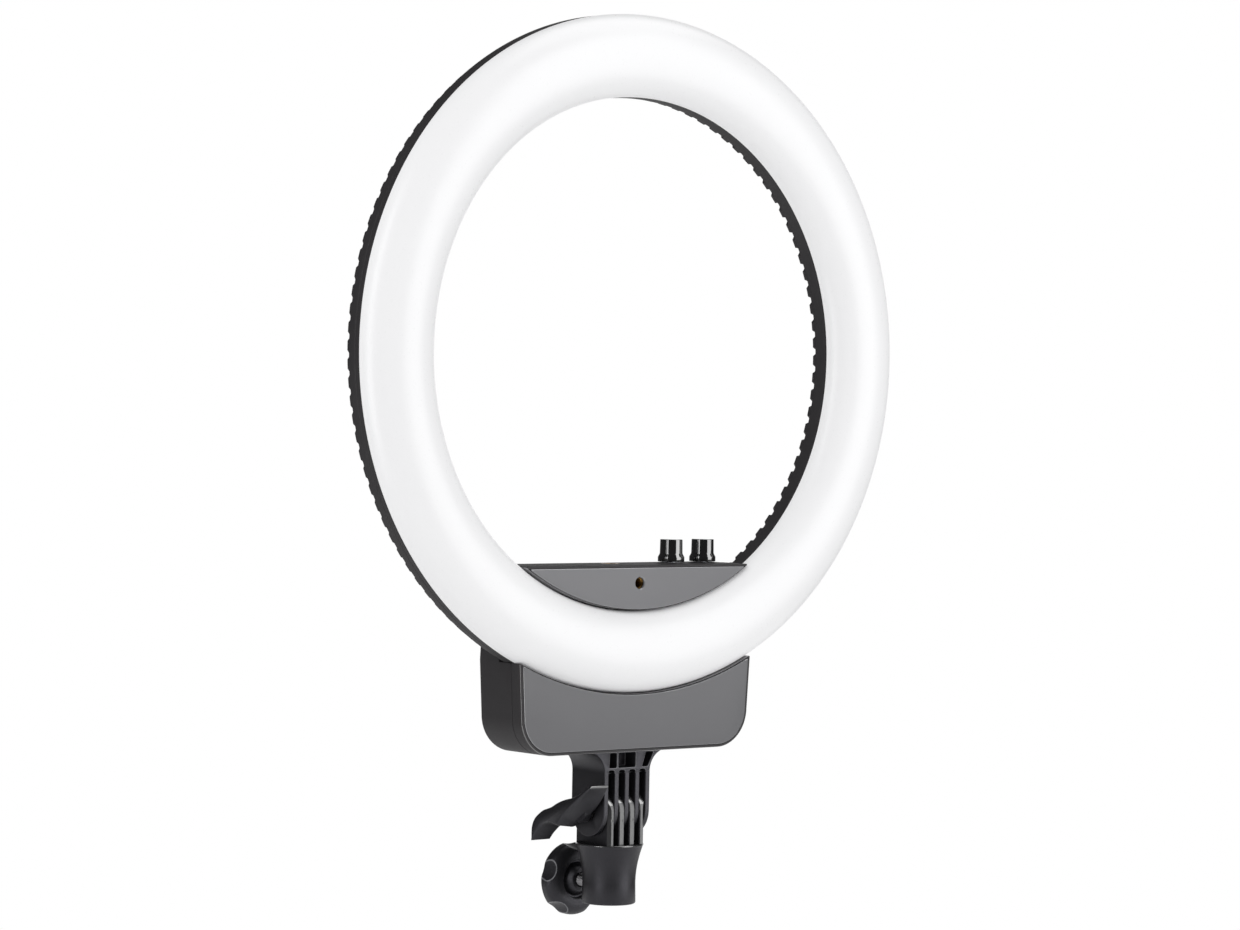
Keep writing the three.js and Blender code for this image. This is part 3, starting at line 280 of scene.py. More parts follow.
turn = 2 * np.pi * np.arange(1440) / 1440
outer_rim = toothed(outer_tips, outer_notch, outer_teeth, outer_share, turn)
inner_rim = toothed(inner_tips, -inner_notch, inner_teeth, inner_share, turn)
vent_rows = [
    (outer_rim - vent_chamfer, cover_front), (outer_rim, cover_front + vent_chamfer),
    (outer_rim, cover_back - vent_chamfer), (outer_rim - vent_chamfer, cover_back),
    (inner_rim + vent_chamfer, cover_back), (inner_rim, cover_back - vent_chamfer),
    (inner_rim, cover_front + vent_chamfer), (inner_rim + vent_chamfer, cover_front),
]
vent_places = np.stack([
    np.stack([rim * np.cos(turn), np.full(len(turn), depth), rim * np.sin(turn)], -1)
    for rim, depth in vent_rows])
vent_ring = solid("vent_ring", surface(vent_places + ring_centre, loop=True))
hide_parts("ring_back_cover")
for ring in (tray, vent_ring):
    combined(ring, "DIFFERENCE", *rods(screw_places, screw_hole, tray_floor_front - 1,
                                       cover_back + 1))
    dressed(ring, moulded_black)
    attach(ring, "head")


# Four quarter rings of white aluminium board carry the diodes behind the diffuser. They are
# screwed into the tray, and nothing of them shows through the milky wall.
board_white = finish("board_white", (232, 232, 226), (222, 222, 216), (0.4, 0.55), 0.8, 0.006,
                     patch=6)
for number in range(1, 5):
    nodes[f"light_board_{number}"].material_slots[0].material = board_white


# One moulding of grained black ABS is the back of the control box, the bridge behind the
# ring and the back of the platform. It is hollow and stands open towards the front covers.
box_bottom, box_half, box_slope, box_corner = -234.4, 84.6, 0.058, 22.7
corner_steps, hollow_steps, belly_steps = 17, 33, 65
shoulder_rounding, tip_rounding, housing_rounding = 0.8, 0.4, 1.2
box_arc = ring_outer + 0.2
platform_arc, platform_half = ring_inner - 0.5, box_half + 0.5
platform_top = -np.sqrt(platform_arc ** 2 - platform_half ** 2)
platform_tip_flat = 0.9
bridge_front, body_back, wall = 13.7, 34, 2.4
seam_back, seam_edge = 2.7, 0.35
back_rounding, top_chamfer = 3, 2
cover_screws = [(-66, -216), (66, -216), (-60, -131), (60, -131)]
boss_radius, thread_hole, post_back = 3.7, 1.9, body_back - wall / 2
board_posts = [(x, z) for x in (-30, 30) for z in (-222, -194)]
board_post_radius, board_back = 2.5, 26.9
row_centre = ring_centre + (0, 21.5, 0)
knob_row, knob_hole = [47.3, 72.1], 3.7
top_insert_bottom = platform_top - 9.6
top_insert_boss, top_insert_hole, top_flange_hole, top_flange_seat = 7.3, 4.9, 6.3, 1.5
back_hole_start, back_hole_end = 30, 36
switch_at, switch_hole = np.array([-50, -208]), np.array([6.5, 9.5])
inlet_at, inlet_hole = (50, -208), 5.5
fork_screws, fork_screw_depth = (-11.8, 11.8), 16.9


def arc(radius, start, end, steps, centre=(0, 0)):
    """Points of a circle: the centre plus the radius times cosine and sine of the turn."""
    angle = np.linspace(start, end, steps)
    return np.stack([centre[0] + radius * np.cos(angle), centre[1] + radius * np.sin(angle)], -1)


def box_side(inset):
    """The right bottom corner of the box, a quarter of a circle, drawn in by the inset."""
    corner = box_corner - inset
    edge = box_half + box_slope * box_corner - inset
    return arc(corner, -np.pi / 2, 0, corner_steps, (edge - corner, box_bottom + box_corner))


def box_shoulder(inset, top_inset):
    """Where the slanted side x = offset + slope z meets the hollow arc of the box's top."""
    radius = box_arc + top_inset
    offset = box_half - box_slope * box_bottom - inset
    term = 1 + box_slope ** 2
    root = (offset * box_slope) ** 2 - term * (offset ** 2 - radius ** 2)
    z = (-offset * box_slope - np.sqrt(root)) / term
    return offset + box_slope * z, z


def both_sides(right):
    """An outline that is the same on both sides: the right half, then its mirror image."""
    return np.concatenate([right, (right * (-1, 1))[::-1]])


def box_outline(inset, top_inset=None):
    """The box seen from the front: round bottom corners, slanted sides, a hollow top, which
    may have an inset of its own."""
    top_inset = inset if top_inset is None else top_inset
    x, z = box_shoulder(inset, top_inset)
    top = arc(box_arc + top_inset, np.arctan2(z, x), -np.pi / 2 - 1e-4, hollow_steps)
    radius = np.zeros(corner_steps + hollow_steps)
    radius[corner_steps] = shoulder_rounding
    outline = both_sides(np.concatenate([box_side(inset), top]))
    return softened(outline, np.concatenate([radius, radius[::-1]]))


def platform_outline(inset, below_inset=None):
    """The platform seen from the front: flat on top, an arc of the ring's hole below, which
    may have an inset of its own."""
    radius = platform_arc - (inset if below_inset is None else below_inset)
    top = platform_top - inset
    tip = np.sqrt(radius ** 2 - top ** 2) - platform_tip_flat
    angle = np.arctan2(-np.sqrt(radius ** 2 - tip ** 2), tip)
    below = arc(radius, -np.pi - angle, angle, belly_steps)
    rounding = np.zeros(belly_steps + 2)
    rounding[[0, -3, -2, -1]] = tip_rounding
    return softened([*below, (tip, top), (-tip, top)], rounding)


def housing_outline(inset):
    """The rear housing seen from the front, from the box's bottom to the platform's top."""
    x, z = box_shoulder(0, 0)
    edge = platform_half - inset
    right = np.concatenate([box_side(inset), [
        (x - inset, z), (edge, platform_top - top_chamfer - inset),
        (edge - top_chamfer, platform_top - inset)]])
    radius = np.array((corner_steps + 1) * [0] + 2 * [housing_rounding])
    return softened(both_sides(right), np.concatenate([radius, radius[::-1]]))


def stacked(outline, levels, axis="y", centre=ring_centre):
    """A solid through one outline at several levels of an axis. Levels are (inset, place):
    outline(inset) gives the points of a level, drawn in by the inset."""
    flat = np.stack([outline(inset) for inset, _ in levels])
    deep = np.broadcast_to(np.array([place for _, place in levels])[:, None], flat.shape[:2])
    across, up = flat[..., 0], flat[..., 1]
    order = {"x": (deep, across, up), "y": (across, deep, up), "z": (across, up, deep)}
    return surface(np.stack(order[axis], -1) + centre, caps=True)


def eased(start, radius, bends=4):
    """Levels of a rounded rim, from the first face inwards: the inset is the radius times one
    less the sine of the turn, and the place moves in by the radius times one less its cosine."""
    angle = np.linspace(0, np.pi / 2, bends + 1)
    return [*zip(radius * (1 - np.sin(angle)), start + radius * (1 - np.cos(angle)))]


def eased_out(end, radius, bends=4):
    """The same levels for the rim of the last face, from the inside outwards."""
    return [(inset, 2 * end - place) for inset, place in eased(end, radius, bends)[::-1]]


def slab(outline, start, end, radius=0.0, axis="y", centre=ring_centre):
    """A slab with an outline and rounded rims, or sharp ones where the radius is nothing."""
    levels = [(0, start), (0, end)]
    if radius:
        levels = eased(start, radius) + eased_out(end, radius)
    return solid("slab", stacked(outline, levels, axis, centre))


def drawn_in(points):
    """A function that moves an outline inwards: each point goes by the inset along the sum of
    its two edges' normals, over one plus their dot product."""
    points = np.asarray(points, float)
    edge = np.roll(points, -1, 0) - points
    x, y = points.T
    side = np.sign((x * np.roll(y, -1) - y * np.roll(x, -1)).sum())
    normal = side * edge[:, ::-1] * (1, -1) / np.linalg.norm(edge, axis=1)[:, None]
    before = np.roll(normal, 1, 0)
    miter = (normal + before) / (1 + (normal * before).sum(1))[:, None]
    return lambda inset: points - inset * miter


def block(low, high, radius=0.0, axis="y", start=0.0, end=1.0, centre=ring_centre, rim=0.0):
    """A bar along an axis with a rectangle's outline, rounded corners and rounded rims."""
    corners = [low, (high[0], low[1]), high, (low[0], high[1])]
    outline = drawn_in(softened(corners, radius) if radius else corners)
    return slab(outline, start, end, rim, axis, centre)


rear = solid("rear_housing", stacked(
    housing_outline, [(0, bridge_front), *eased_out(body_back, back_rounding, 6)]))
lap = bridge_front + wall
open_levels = [(seam_edge, seam_back), (0, seam_back + seam_edge), (0, lap)]
combined(rear, "UNION", *[solid("front", stacked(outline, open_levels))
                          for outline in (box_outline, platform_outline)])
combined(rear, "DIFFERENCE",
         slab(lambda inset: housing_outline(inset + wall), lap, body_back - wall),
         slab(lambda inset: box_outline(inset + wall), seam_back - 1, lap + 1),
         slab(lambda inset: platform_outline(inset + wall), seam_back - 1, lap + 1))
combined(rear, "UNION", *rods(cover_screws, boss_radius, seam_back, post_back),
         *rods(board_posts, board_post_radius, board_back, post_back),
         rod(row_centre, top_insert_boss, top_insert_bottom, platform_top - wall / 2, "z"))
combined(rear, "DIFFERENCE", *rods(cover_screws, thread_hole, seam_back + 0.3, back_hole_end),
         *rods(screw_places, screw_hole, bridge_front - 1.7, bridge_front + 4.3),
         rod(row_centre, top_insert_hole, top_insert_bottom - 1.4, platform_top, "z"),
         rod(row_centre, top_flange_hole, platform_top - top_flange_seat, platform_top + 1, "z"),
         *[rod(row_centre + (x, 0, 0), knob_hole, platform_top - 4, platform_top + 1, "z")
           for x in knob_row],
         *rods([inlet_at], inlet_hole, back_hole_start, back_hole_end),
         block(switch_at - switch_hole, switch_at + switch_hole, start=back_hole_start,
               end=back_hole_end),
         *[rod(ring_centre + (x, fork_screw_depth, 0), screw_hole, box_bottom - 1,
               box_bottom + 4, "z") for x in fork_screws])
dressed(rear, moulded_black)
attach(rear, "head")
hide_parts("rear_housing")


# Two shallow covers of the same ABS close the box and the platform at the front. Each is
# recessed for its grey panel, and hollow screw posts stand on its back.
seam_front, rim_front = 2.4, -6.6
recess_floor, cover_wall_back = -5.2, -2.8
box_margin, platform_margin = 1.6, 1.1
round_rim, rim_share = 0.65, 0.16
insert_at = ring_centre + (0, 0, platform_top - 10.4)
insert_radius, insert_back, insert_boss = 3.9, 1.8, 6.6
shank_front = -1.8
rim_polished = finish("rim_polished", (54, 52, 54), (46, 44, 46), (0.2, 0.3), 0.45, 0.004,
                      Coat_Weight=1, Coat_Roughness=0.12, Coat_IOR=2.1)
# Painted reflection: the black cover's top side under the diffuser and the platform cover's
# underside are painted pale grey for the diffuser's glow they reflect.
rim_painted_glow = finish("rim_painted_glow", (160, 159, 161), (150, 149, 151), (0.4, 0.5), 1, 0.004)


def refinished(piece, material, chosen):
    """The piece with a further finish on the faces that a test picks out. It is given their
    centres in millimetres and their normals, each as three arrays along the axes."""
    mesh = piece.data
    count = len(mesh.polygons)
    centres, normals, marks = np.empty(3 * count), np.empty(3 * count), np.empty(count, np.int32)
    for name, values in (("center", centres), ("normal", normals), ("material_index", marks)):
        mesh.polygons.foreach_get(name, values)
    mesh.materials.append(material)
    picked = chosen(centres.reshape(-1, 3).T * 1000, normals.reshape(-1, 3).T)
    marks[picked] = len(mesh.materials) - 1
    mesh.polygons.foreach_set("material_index", marks)
    return piece


def cover_levels(margin):
    """Levels of a cover from the floor of its recess over its rim and its side to the back,
    and down inside to the wall behind the recess."""
    return [(margin, recess_floor), (margin, rim_front), *eased(rim_front, round_rim),
            (0, seam_front - seam_edge), (seam_edge, seam_front),
            (wall, seam_front), (wall, cover_wall_back)]


box_cover = solid("box_cover", stacked(
    lambda inset: box_outline(inset, inset * (rim_share if inset <= box_margin else 1)),
    cover_levels(box_margin)))
platform_cover = solid("platform_cover", stacked(
    lambda inset: platform_outline(inset, inset * (rim_share if inset <= platform_margin else 1)),
    cover_levels(platform_margin)))
for cover, places in ((box_cover, cover_screws[:2]), (platform_cover, cover_screws[2:])):
    combined(cover, "UNION", *rods(places, boss_radius, cover_wall_back - 0.5, seam_front))
    if cover is platform_cover:
        combined(cover, "UNION", rod(insert_at, insert_boss, cover_wall_back - 0.5, insert_back))
        combined(cover, "DIFFERENCE", rod(insert_at, insert_radius + gap, rim_front - 1,
                                          insert_back + 1))
    combined(cover, "DIFFERENCE", *rods(places, thread_hole, shank_front, seam_front + 1))
    refinished(dressed(cover, moulded_black), rim_polished, lambda place, normal: (
        (place[1] < ring_centre[1] + rim_front + round_rim) & (normal[1] < -0.1)
        & (normal[1] > -0.97) & (normal[2] < 0.3)))
# The cover's top and underside faces next to the diffuser take the painted reflection.
refinished(box_cover, rim_painted_glow, lambda place, normal: (
    (normal[2] > 0.6) & (np.abs(normal[1]) < 0.1) & (place[1] < ring_centre[1] + seam_front)
    & (np.hypot(place[0], place[2] - ring_centre[2]) < box_arc + 0.2)))
refinished(platform_cover, rim_painted_glow, lambda place, normal: (
    (normal[2] < -0.3) & (np.abs(normal[1]) < 0.1) & (place[1] < ring_centre[1] + seam_front)
    & (np.hypot(place[0], place[2] - ring_centre[2]) > platform_arc - 0.2)))
for cover in (box_cover, platform_cover):
    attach(cover, "head")
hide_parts("box_front_cover")
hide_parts("platform_front_cover")


# The two panels are satin grey ABS plates of one plastic, with a coated bevel painted paler as a
# painted highlight. The lower one is painted a shade darker, as painted shade. They are glued
# into the recesses of the covers.
panel_front, panel_bevel = -7.2, 0.5
satin_grey = finish("satin_grey", (108, 108, 111), (104, 104, 107), (0.4, 0.5), 0.5, 0.006)
# Painted shade: the lower panel is the same plastic as the upper one, painted darker for the
# light it loses.
painted_shade_grey = finish("painted_shade_grey", (90, 90, 93), (86, 86, 89), (0.4, 0.5), 0.5, 0.006)
# Painted highlight: the bevel is painted paler than its panel to make a bright edge line; its
# coat is real gloss.
bevel_painted_highlight = finish("bevel_painted_highlight", (134, 134, 137), (128, 128, 131), (0.15, 0.22), 0.5, 0.002,
                    Coat_Weight=1, Coat_Roughness=0.1, Coat_IOR=2)
panel_hole, hole_chamfer = 3.45, 0.4


def panel_levels(margin):
    """Levels of a panel: a rounded bevel at the front, then straight back to the recess."""
    edge = margin + gap
    bevel = [(edge + inset, place) for inset, place in eased(panel_front, panel_bevel)]
    return [*bevel, (edge, recess_floor - gap)]


box_panel = solid("box_panel", stacked(
    lambda inset: box_outline(inset, inset - box_margin * (1 - rim_share)),
    panel_levels(box_margin)))
platform_panel = solid("platform_panel", stacked(
    lambda inset: platform_outline(inset, inset - platform_margin * (1 - rim_share)),
    panel_levels(platform_margin)))
combined(platform_panel, "DIFFERENCE", solid("hole", turned([
    (0, panel_front - 1), (panel_hole + hole_chamfer, panel_front - 1),
    (panel_hole + hole_chamfer, panel_front), (panel_hole, panel_front + hole_chamfer),
    (panel_hole, recess_floor + 1), (0, recess_floor + 1)], 64, "y", insert_at)))
for panel, node, grey in ((box_panel, "box_front_panel", painted_shade_grey),
                          (platform_panel, "platform_front_panel", satin_grey)):
    # The bevel faces of each panel take the painted highlight.
    refinished(dressed(panel, grey, 20), bevel_painted_highlight, lambda place, normal: (
        (normal[1] < -0.2) & (normal[1] > -0.98)))
    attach(panel, "head")
    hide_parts(node)


# Two brass inserts with a quarter-inch thread take a camera screw: one pressed into the
# platform's front, one with a flange let into its top.
turned_brass = finish("turned_brass", (150, 116, 64), (104, 78, 42), (0.22, 0.42), 0.6, 0.004,
                      patch=3, Metallic=1)
# Painted shade: the front insert's brass is painted darker for the shade of the hole it sits in.
brass_painted_shade = finish("brass_painted_shade", (128, 98, 52), (84, 62, 32), (0.25, 0.45), 0.6, 0.004,
                    patch=3, Metallic=1)
bore, thread_pitch, thread_depth = 3.175, 1.27, 0.55
insert_front = recess_floor - gap
top_insert_radius, top_flange_radius, top_flange_depth, insert_floor = 4.6, 6, 1.2, 1.2


def straight(radius, start, end, count=49):
    """Points of a straight wall in a profile: one radius at even heights."""
    return np.stack([np.full(count, radius), np.linspace(start, end, count)], -1)


front_insert = dressed(solid("front_thread", turned([
    (0, insert_back - insert_floor),
    *straight(bore, insert_back - insert_floor, insert_front + 0.4),
    (bore + 0.35, insert_front), (insert_radius - 0.2, insert_front),
    (insert_radius, insert_front + 0.2), (insert_radius, insert_back), (0, insert_back),
], 64, "y", insert_at,
    (insert_front + 0.5, insert_back - 1.25, thread_pitch, thread_depth))), brass_painted_shade)
top_insert = dressed(solid("top_thread", turned([
    (0, top_insert_bottom + insert_floor),
    *straight(bore, top_insert_bottom + insert_floor, platform_top - 0.5),
    (bore + 0.45, platform_top), (top_flange_radius - 0.3, platform_top),
    (top_flange_radius, platform_top - 0.3), (top_flange_radius, platform_top - top_flange_depth),
    (top_insert_radius, platform_top - top_flange_depth), (top_insert_radius, top_insert_bottom),
    (0, top_insert_bottom),
], 64, "z", row_centre,
    (top_insert_bottom + 1.15, platform_top - 0.6, thread_pitch, thread_depth))), turned_brass)
for insert, node in ((front_insert, "front_thread_insert"), (top_insert, "top_thread_insert")):
    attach(insert, "head")
    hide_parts(node)


# Zinc-plated steel screws, nuts and dimmers hold the pieces or work inside them. The four
# screws at the back have a cross recess in a pan head.
zinc_steel = finish("zinc_steel", (196, 198, 202), (170, 172, 178), (0.25, 0.42), 0.9, 0.003,
                    patch=4, Metallic=1)
for name in ("ring_screw_1", "ring_screw_2", "ring_screw_3", "ring_screw_4", "fork_screw_1",
             "fork_screw_2", "brightness_potentiometer", "colour_potentiometer",
             "brightness_nut", "colour_nut", "brightness_shaft", "colour_shaft"):
    nodes[name].material_slots[0].material = zinc_steel
head_seat, head_height, head_rim, head_radius = body_back + gap, 1.8, 0.7, 3
cross_half, cross_width, shank_radius, shank_end = 1.5, 0.32, 1.6, -1.5
pan_head = [(head_radius * np.cos(a), head_seat + head_rim + (head_height - head_rim) * np.sin(a))
            for a in np.linspace(0, np.pi / 2, 9)[:-1]]
for number, (x, z) in enumerate(cover_screws, 1):
    middle = ring_centre + (x, 0, z)
    screw = solid(f"back_screw_{number}", turned([
        (0, shank_end), (shank_radius - 0.4, shank_end), (shank_radius, shank_end + 0.7),
        (shank_radius, head_seat), (head_radius - 0.15, head_seat),
        (head_radius, head_seat + 0.2), *pan_head, (0, head_seat + head_height),
    ], 48, "y", middle))
    combined(screw, "DIFFERENCE", *[
        block((-half_x, -half_z), (half_x, half_z), 0.15, start=head_seat + 0.5,
              end=head_seat + head_height + 1, centre=middle)
        for half_x, half_z in ((cross_half, cross_width), (cross_width, cross_half))])
    dressed(screw, zinc_steel)
    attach(screw, "head")
    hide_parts(f"cover_screw_{number}")


# Two knobs of glossy black plastic for brightness and colour stand on the platform. Each
# has a broad foot, a short cone and a straight grip, and presses on its dimmer's shaft.
gloss_black = finish("gloss_black", (12, 12, 12), (9, 9, 9), (0.05, 0.08), 2, 0.0003, patch=12,
                     IOR=1.7, Coat_Weight=1, Coat_Roughness=0.04, Coat_IOR=2.1)
knob_foot = platform_top + 0.6
knob_profile = softened([
    (3.0, 2.5), (6.3, 2.5), (6.3, 0), (8.1, 0), (8.1, 2.8), (6.95, 4.9), (6.8, 13.5), (0, 13.5),
    (0, 11.4), (3.0, 11.4),
], [0, 0.2, 0.2, 0.3, 0.35, 0.5, 0.5, 0, 0, 0.2])
for name, x in zip(("brightness", "colour"), knob_row):
    knob = dressed(solid(f"{name}_grip", turned(
        knob_profile, 96, "z", row_centre + (x, 0, knob_foot))), gloss_black, 50)
    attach(knob, f"{name}_control")
    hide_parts(f"{name}_knob")


# The driver board in the box turns the supply into current for the diodes. It is green
# glass fibre, screwed to posts of the rear housing.
board_green = finish("board_green", (52, 118, 74), (34, 92, 56), (0.35, 0.55), 0.7, 0.01,
                     patch=3)
nodes["driver_board"].material_slots[0].material = board_green


# The power inlet on the back is a round socket of black plastic with a brass pin. It snaps
# into its hole.
fitting_seat, fitting_face = body_back + gap, body_back + gap + 1.5
pin_hollow, pin_tip, pin_radius = fitting_face - 9.5, fitting_face - 1.4, 1.05
inlet_front, inlet_neck, inlet_rim, inlet_mouth = 22.3, 5.2, 6.6, 2.9
inlet_centre = ring_centre + (inlet_at[0], 0, inlet_at[1])
fitting_black = finish("fitting_black", (36, 36, 38), (30, 30, 32), (0.3, 0.42), 0.5, 0.006)
inlet_body = dressed(solid("inlet_socket", turned(softened([
    (0, inlet_front), (inlet_neck, inlet_front), (inlet_neck, fitting_seat),
    (inlet_rim, fitting_seat), (inlet_rim, fitting_face), (inlet_mouth, fitting_face),
    (inlet_mouth, pin_hollow), (0, pin_hollow),
], [0, 0.5, 0, 0.2, 0.5, 0.4, 0, 0]), 64, "y", inlet_centre)), fitting_black)
inlet_pin = dressed(solid("inlet_pin", turned([
    (0, pin_hollow - 0.1), (pin_radius, pin_hollow - 0.1), (pin_radius, pin_tip - 0.4),
    (pin_radius - 0.3, pin_tip), (0, pin_tip),
], 32, "y", inlet_centre)), turned_brass)
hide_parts("power_inlet")
for part, finish_name in ((inlet_body, "black_fitting"), (inlet_pin, "brass_insert")):
    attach(part, "head")


# The power switch is a rocker in a rectangular frame. Both are black nylon, and the rocker
# is glossy and tips on a pin across the frame.
switch_centre = ring_centre + (switch_at[0], 0, switch_at[1])
switch_half, switch_wall, switch_lip, switch_depth = np.array([6.2, 9.2]), 1.364, 1.4, 11
lip_half, hollow_half = switch_half + switch_lip, switch_half - switch_wall
switch_bottom = fitting_seat - switch_depth
switch_frame = combined(
    block(-lip_half, lip_half, 0.8, start=fitting_seat, end=fitting_face, rim=0.4,
          centre=switch_centre),
    "UNION", block(-switch_half, switch_half, start=switch_bottom, end=fitting_face - 0.5,
                   centre=switch_centre))
combined(switch_frame, "DIFFERENCE",
         block(-hollow_half, hollow_half, 0.3, start=switch_bottom + switch_wall,
               end=fitting_face + 1, centre=switch_centre))
switch_frame.name = "switch_frame"
dressed(switch_frame, fitting_black)
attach(switch_frame, "head")
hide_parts("switch_housing")
rocker_half, rocker_reach, rocker_belly = hollow_half[0] - 0.4, 6.5, 4.2
rocker_tip, rocker_dish = 2.9, 0.7
rise = np.linspace(-rocker_reach, rocker_reach, 25)
dished = np.stack([rocker_tip + rocker_dish * (rise / rocker_reach) ** 2, rise], -1)
belly = arc(rocker_belly, np.pi * 3 / 4, np.pi * 5 / 4, 13)
tilt = np.radians(12)
rocker_outline = np.concatenate([dished, [(-1, 5.5)], belly, [(-1, -5.5)]])
rounding = np.zeros(len(rocker_outline))
rounding[[0, len(rise) - 1]] = 0.4
rocker_outline = softened(rocker_outline, rounding) @ np.array([
    [np.cos(tilt), np.sin(tilt)], [-np.sin(tilt), np.cos(tilt)]])
rocker = dressed(slab(drawn_in(rocker_outline), -rocker_half, rocker_half, 0.3, "x",
                      switch_centre + (0, fitting_face - 1.6, 0)), gloss_black, 40)
rocker.name = "rocker"
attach(rocker, "power_rocker")
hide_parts("power_rocker")


# The fork under the box is black nylon with glass fibre, moulded with five fins, a web
# above them and deep pockets between ribs. Two screws from inside the box hold it.
pivot = np.array([0, 0, 55.8])
bolt_hole = 3.35
fin_pitch, fin_thickness, fork_half_depth = 7.85, 3.2, 15.45
fork_half, web_top, web_bottom, fork_top = 17.3, 26.1, 24.8, 35.8
flare_radius, flare_start = 13, 23
pocket_top, pocket_back = fork_top - 0.9, 10 - fork_half_depth
pockets = [[(-13.6, 0), (-8, 0), (-8, 1), (-13.2, 1)],
           [(-6.7, 0), (6.3, 0), (6.3, 1), (-6.7, 1)],
           [(11.2, 0), (15.6, 0), (17.6, 0.41), (20, 1), (14, 1), (13.4, 0.7)]]
slot_rounding, pocket_rounding = 1.7, 0.9
fork_screw_hole, fork_screw_bore, pale_edge_width, pale_edge_angle = 2.2, 9.3, 0.42, np.radians(35)
nylon_black = finish("nylon_black", (26, 26, 28), (18, 18, 20), (0.36, 0.5), 0.6, 0.05,
                     patch=1.2, Specular_Tint=(0.92, 0.9, 1, 1))
# The fork's front faces have a coarser grain and relief, and are painted paler as a painted
# highlight of the light their grain catches.
nylon_coarse_painted_sheen = finish("nylon_coarse_painted_sheen", (52, 52, 55), (22, 22, 24), (0.34, 0.52), 1, 0.11,
                      patch=1, Specular_Tint=(0.92, 0.9, 1, 1))
# Painted highlight: a paler nylon for the narrow bevels on the fork's edges and the rims of the
# clamp knob's scoops, where light catches them.
nylon_edge_painted_highlight = finish("nylon_edge_painted_highlight", (128, 128, 132), (78, 78, 82), (0.3, 0.42), 0.6, 0.03, patch=1)


def edged(piece):
    """The piece with every edge sharper than an angle turned to a narrow bevel, painted paler as
    a painted highlight.
    """
    bevel = piece.modifiers.new("edge", "BEVEL")
    bevel.width = pale_edge_width / 1000
    bevel.segments = 2
    bevel.limit_method = "ANGLE"
    bevel.angle_limit = pale_edge_angle
    bevel.use_clamp_overlap = False
    bevel.material = len(piece.data.materials)
    piece.data.materials.append(nylon_edge_painted_highlight)
    applied(piece).data.shade_smooth()
    piece.data.set_sharp_from_angle(angle=np.radians(30))
    return piece


def fin_outline(radius, end, rise=None):
    """A fin seen from the side: half a circle round the pivot, or half an ellipse of another
    rise, with straight sides to its end."""
    up = np.sign(end)
    half = arc(radius, 0, np.pi, 33) * (1, -up * (rise or radius) / radius)
    return np.concatenate([half, [(-radius, end), (radius, end)]])


flare_turn = np.arcsin((fork_top - flare_start) / flare_radius)
flare = arc(flare_radius, np.pi, np.pi - flare_turn, 17, (fork_half + flare_radius, flare_start))
fork = slab(drawn_in(both_sides(flare)), -fork_half_depth, fork_half_depth, 0.5, "y", pivot)
fin_side = drawn_in(fin_outline(fork_half_depth, web_top))
fin_rows = [fin_pitch * (i - 2) for i in range(5)]
combined(fork, "UNION", *[
    slab(fin_side, x - fin_thickness / 2, x + fin_thickness / 2, 0.45, "x", pivot)
    for x in fin_rows])
combined(fork, "DIFFERENCE", *[
    block((x + fin_thickness / 2, -fork_half_depth - 4),
          (x + fin_pitch - fin_thickness / 2, web_bottom), slot_rounding,
          start=-fork_half_depth - 1, end=fork_half_depth + 1, centre=pivot)
    for x in fin_rows[:4]])
combined(fork, "DIFFERENCE", *[
    slab(drawn_in(softened([(x, web_top + share * (pocket_top - web_top)) for x, share in pocket],
                           pocket_rounding)), -fork_half_depth - 1, pocket_back, centre=pivot)
    for pocket in pockets])
combined(fork, "DIFFERENCE",
         *[rod(pivot + (x, 0, 0), fork_screw_hole, fork_top - fork_screw_bore, fork_top + 1, "z")
           for x in fork_screws],
         rod(pivot, bolt_hole, -fork_half - 1, fork_half + 1, "x"))
fork.name = "fork"
# The front faces take the coarse grain and the painted highlight; the edges take the painted
# highlight on their bevels.
edged(refinished(dressed(fork, nylon_black), nylon_coarse_painted_sheen,
                 lambda place, normal: normal[1] < -0.9))
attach(fork, "head")
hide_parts("tilt_fork")


# An M6 bolt clamps the fins of fork and socket together. Its hexagon sits in the lever, and
# a washer and a nut stand on the other side.
bolt_seat, bolt_head, hex_radius = -19.4, 4.2, 5.8
nut_inner, nut_thickness, bolt_end = 17.6, 4.8, 23.2
washer_inner, washer_outer = -18.8, -17.6


def hexagon(radius, start, end):
    """A hexagon bar along X, of a radius over its corners."""
    return slab(drawn_in(arc(radius, np.pi / 6, np.pi * 11 / 6, 6)), start, end, 0, "x", pivot)


def chamfered_hexagon(name, start, end):
    """A hexagon bar whose corners are turned off by a cone at both ends."""
    bar = hexagon(hex_radius, start, end)
    cone = [(0, start), (hex_radius - 0.75, start), (hex_radius + 0.1, start + 0.5),
            (hex_radius + 0.1, end - 0.5), (hex_radius - 0.75, end), (0, end)]
    combined(bar, "INTERSECT", solid("cone", turned(cone, 96, "x", pivot)))
    bar.name = name
    return bar


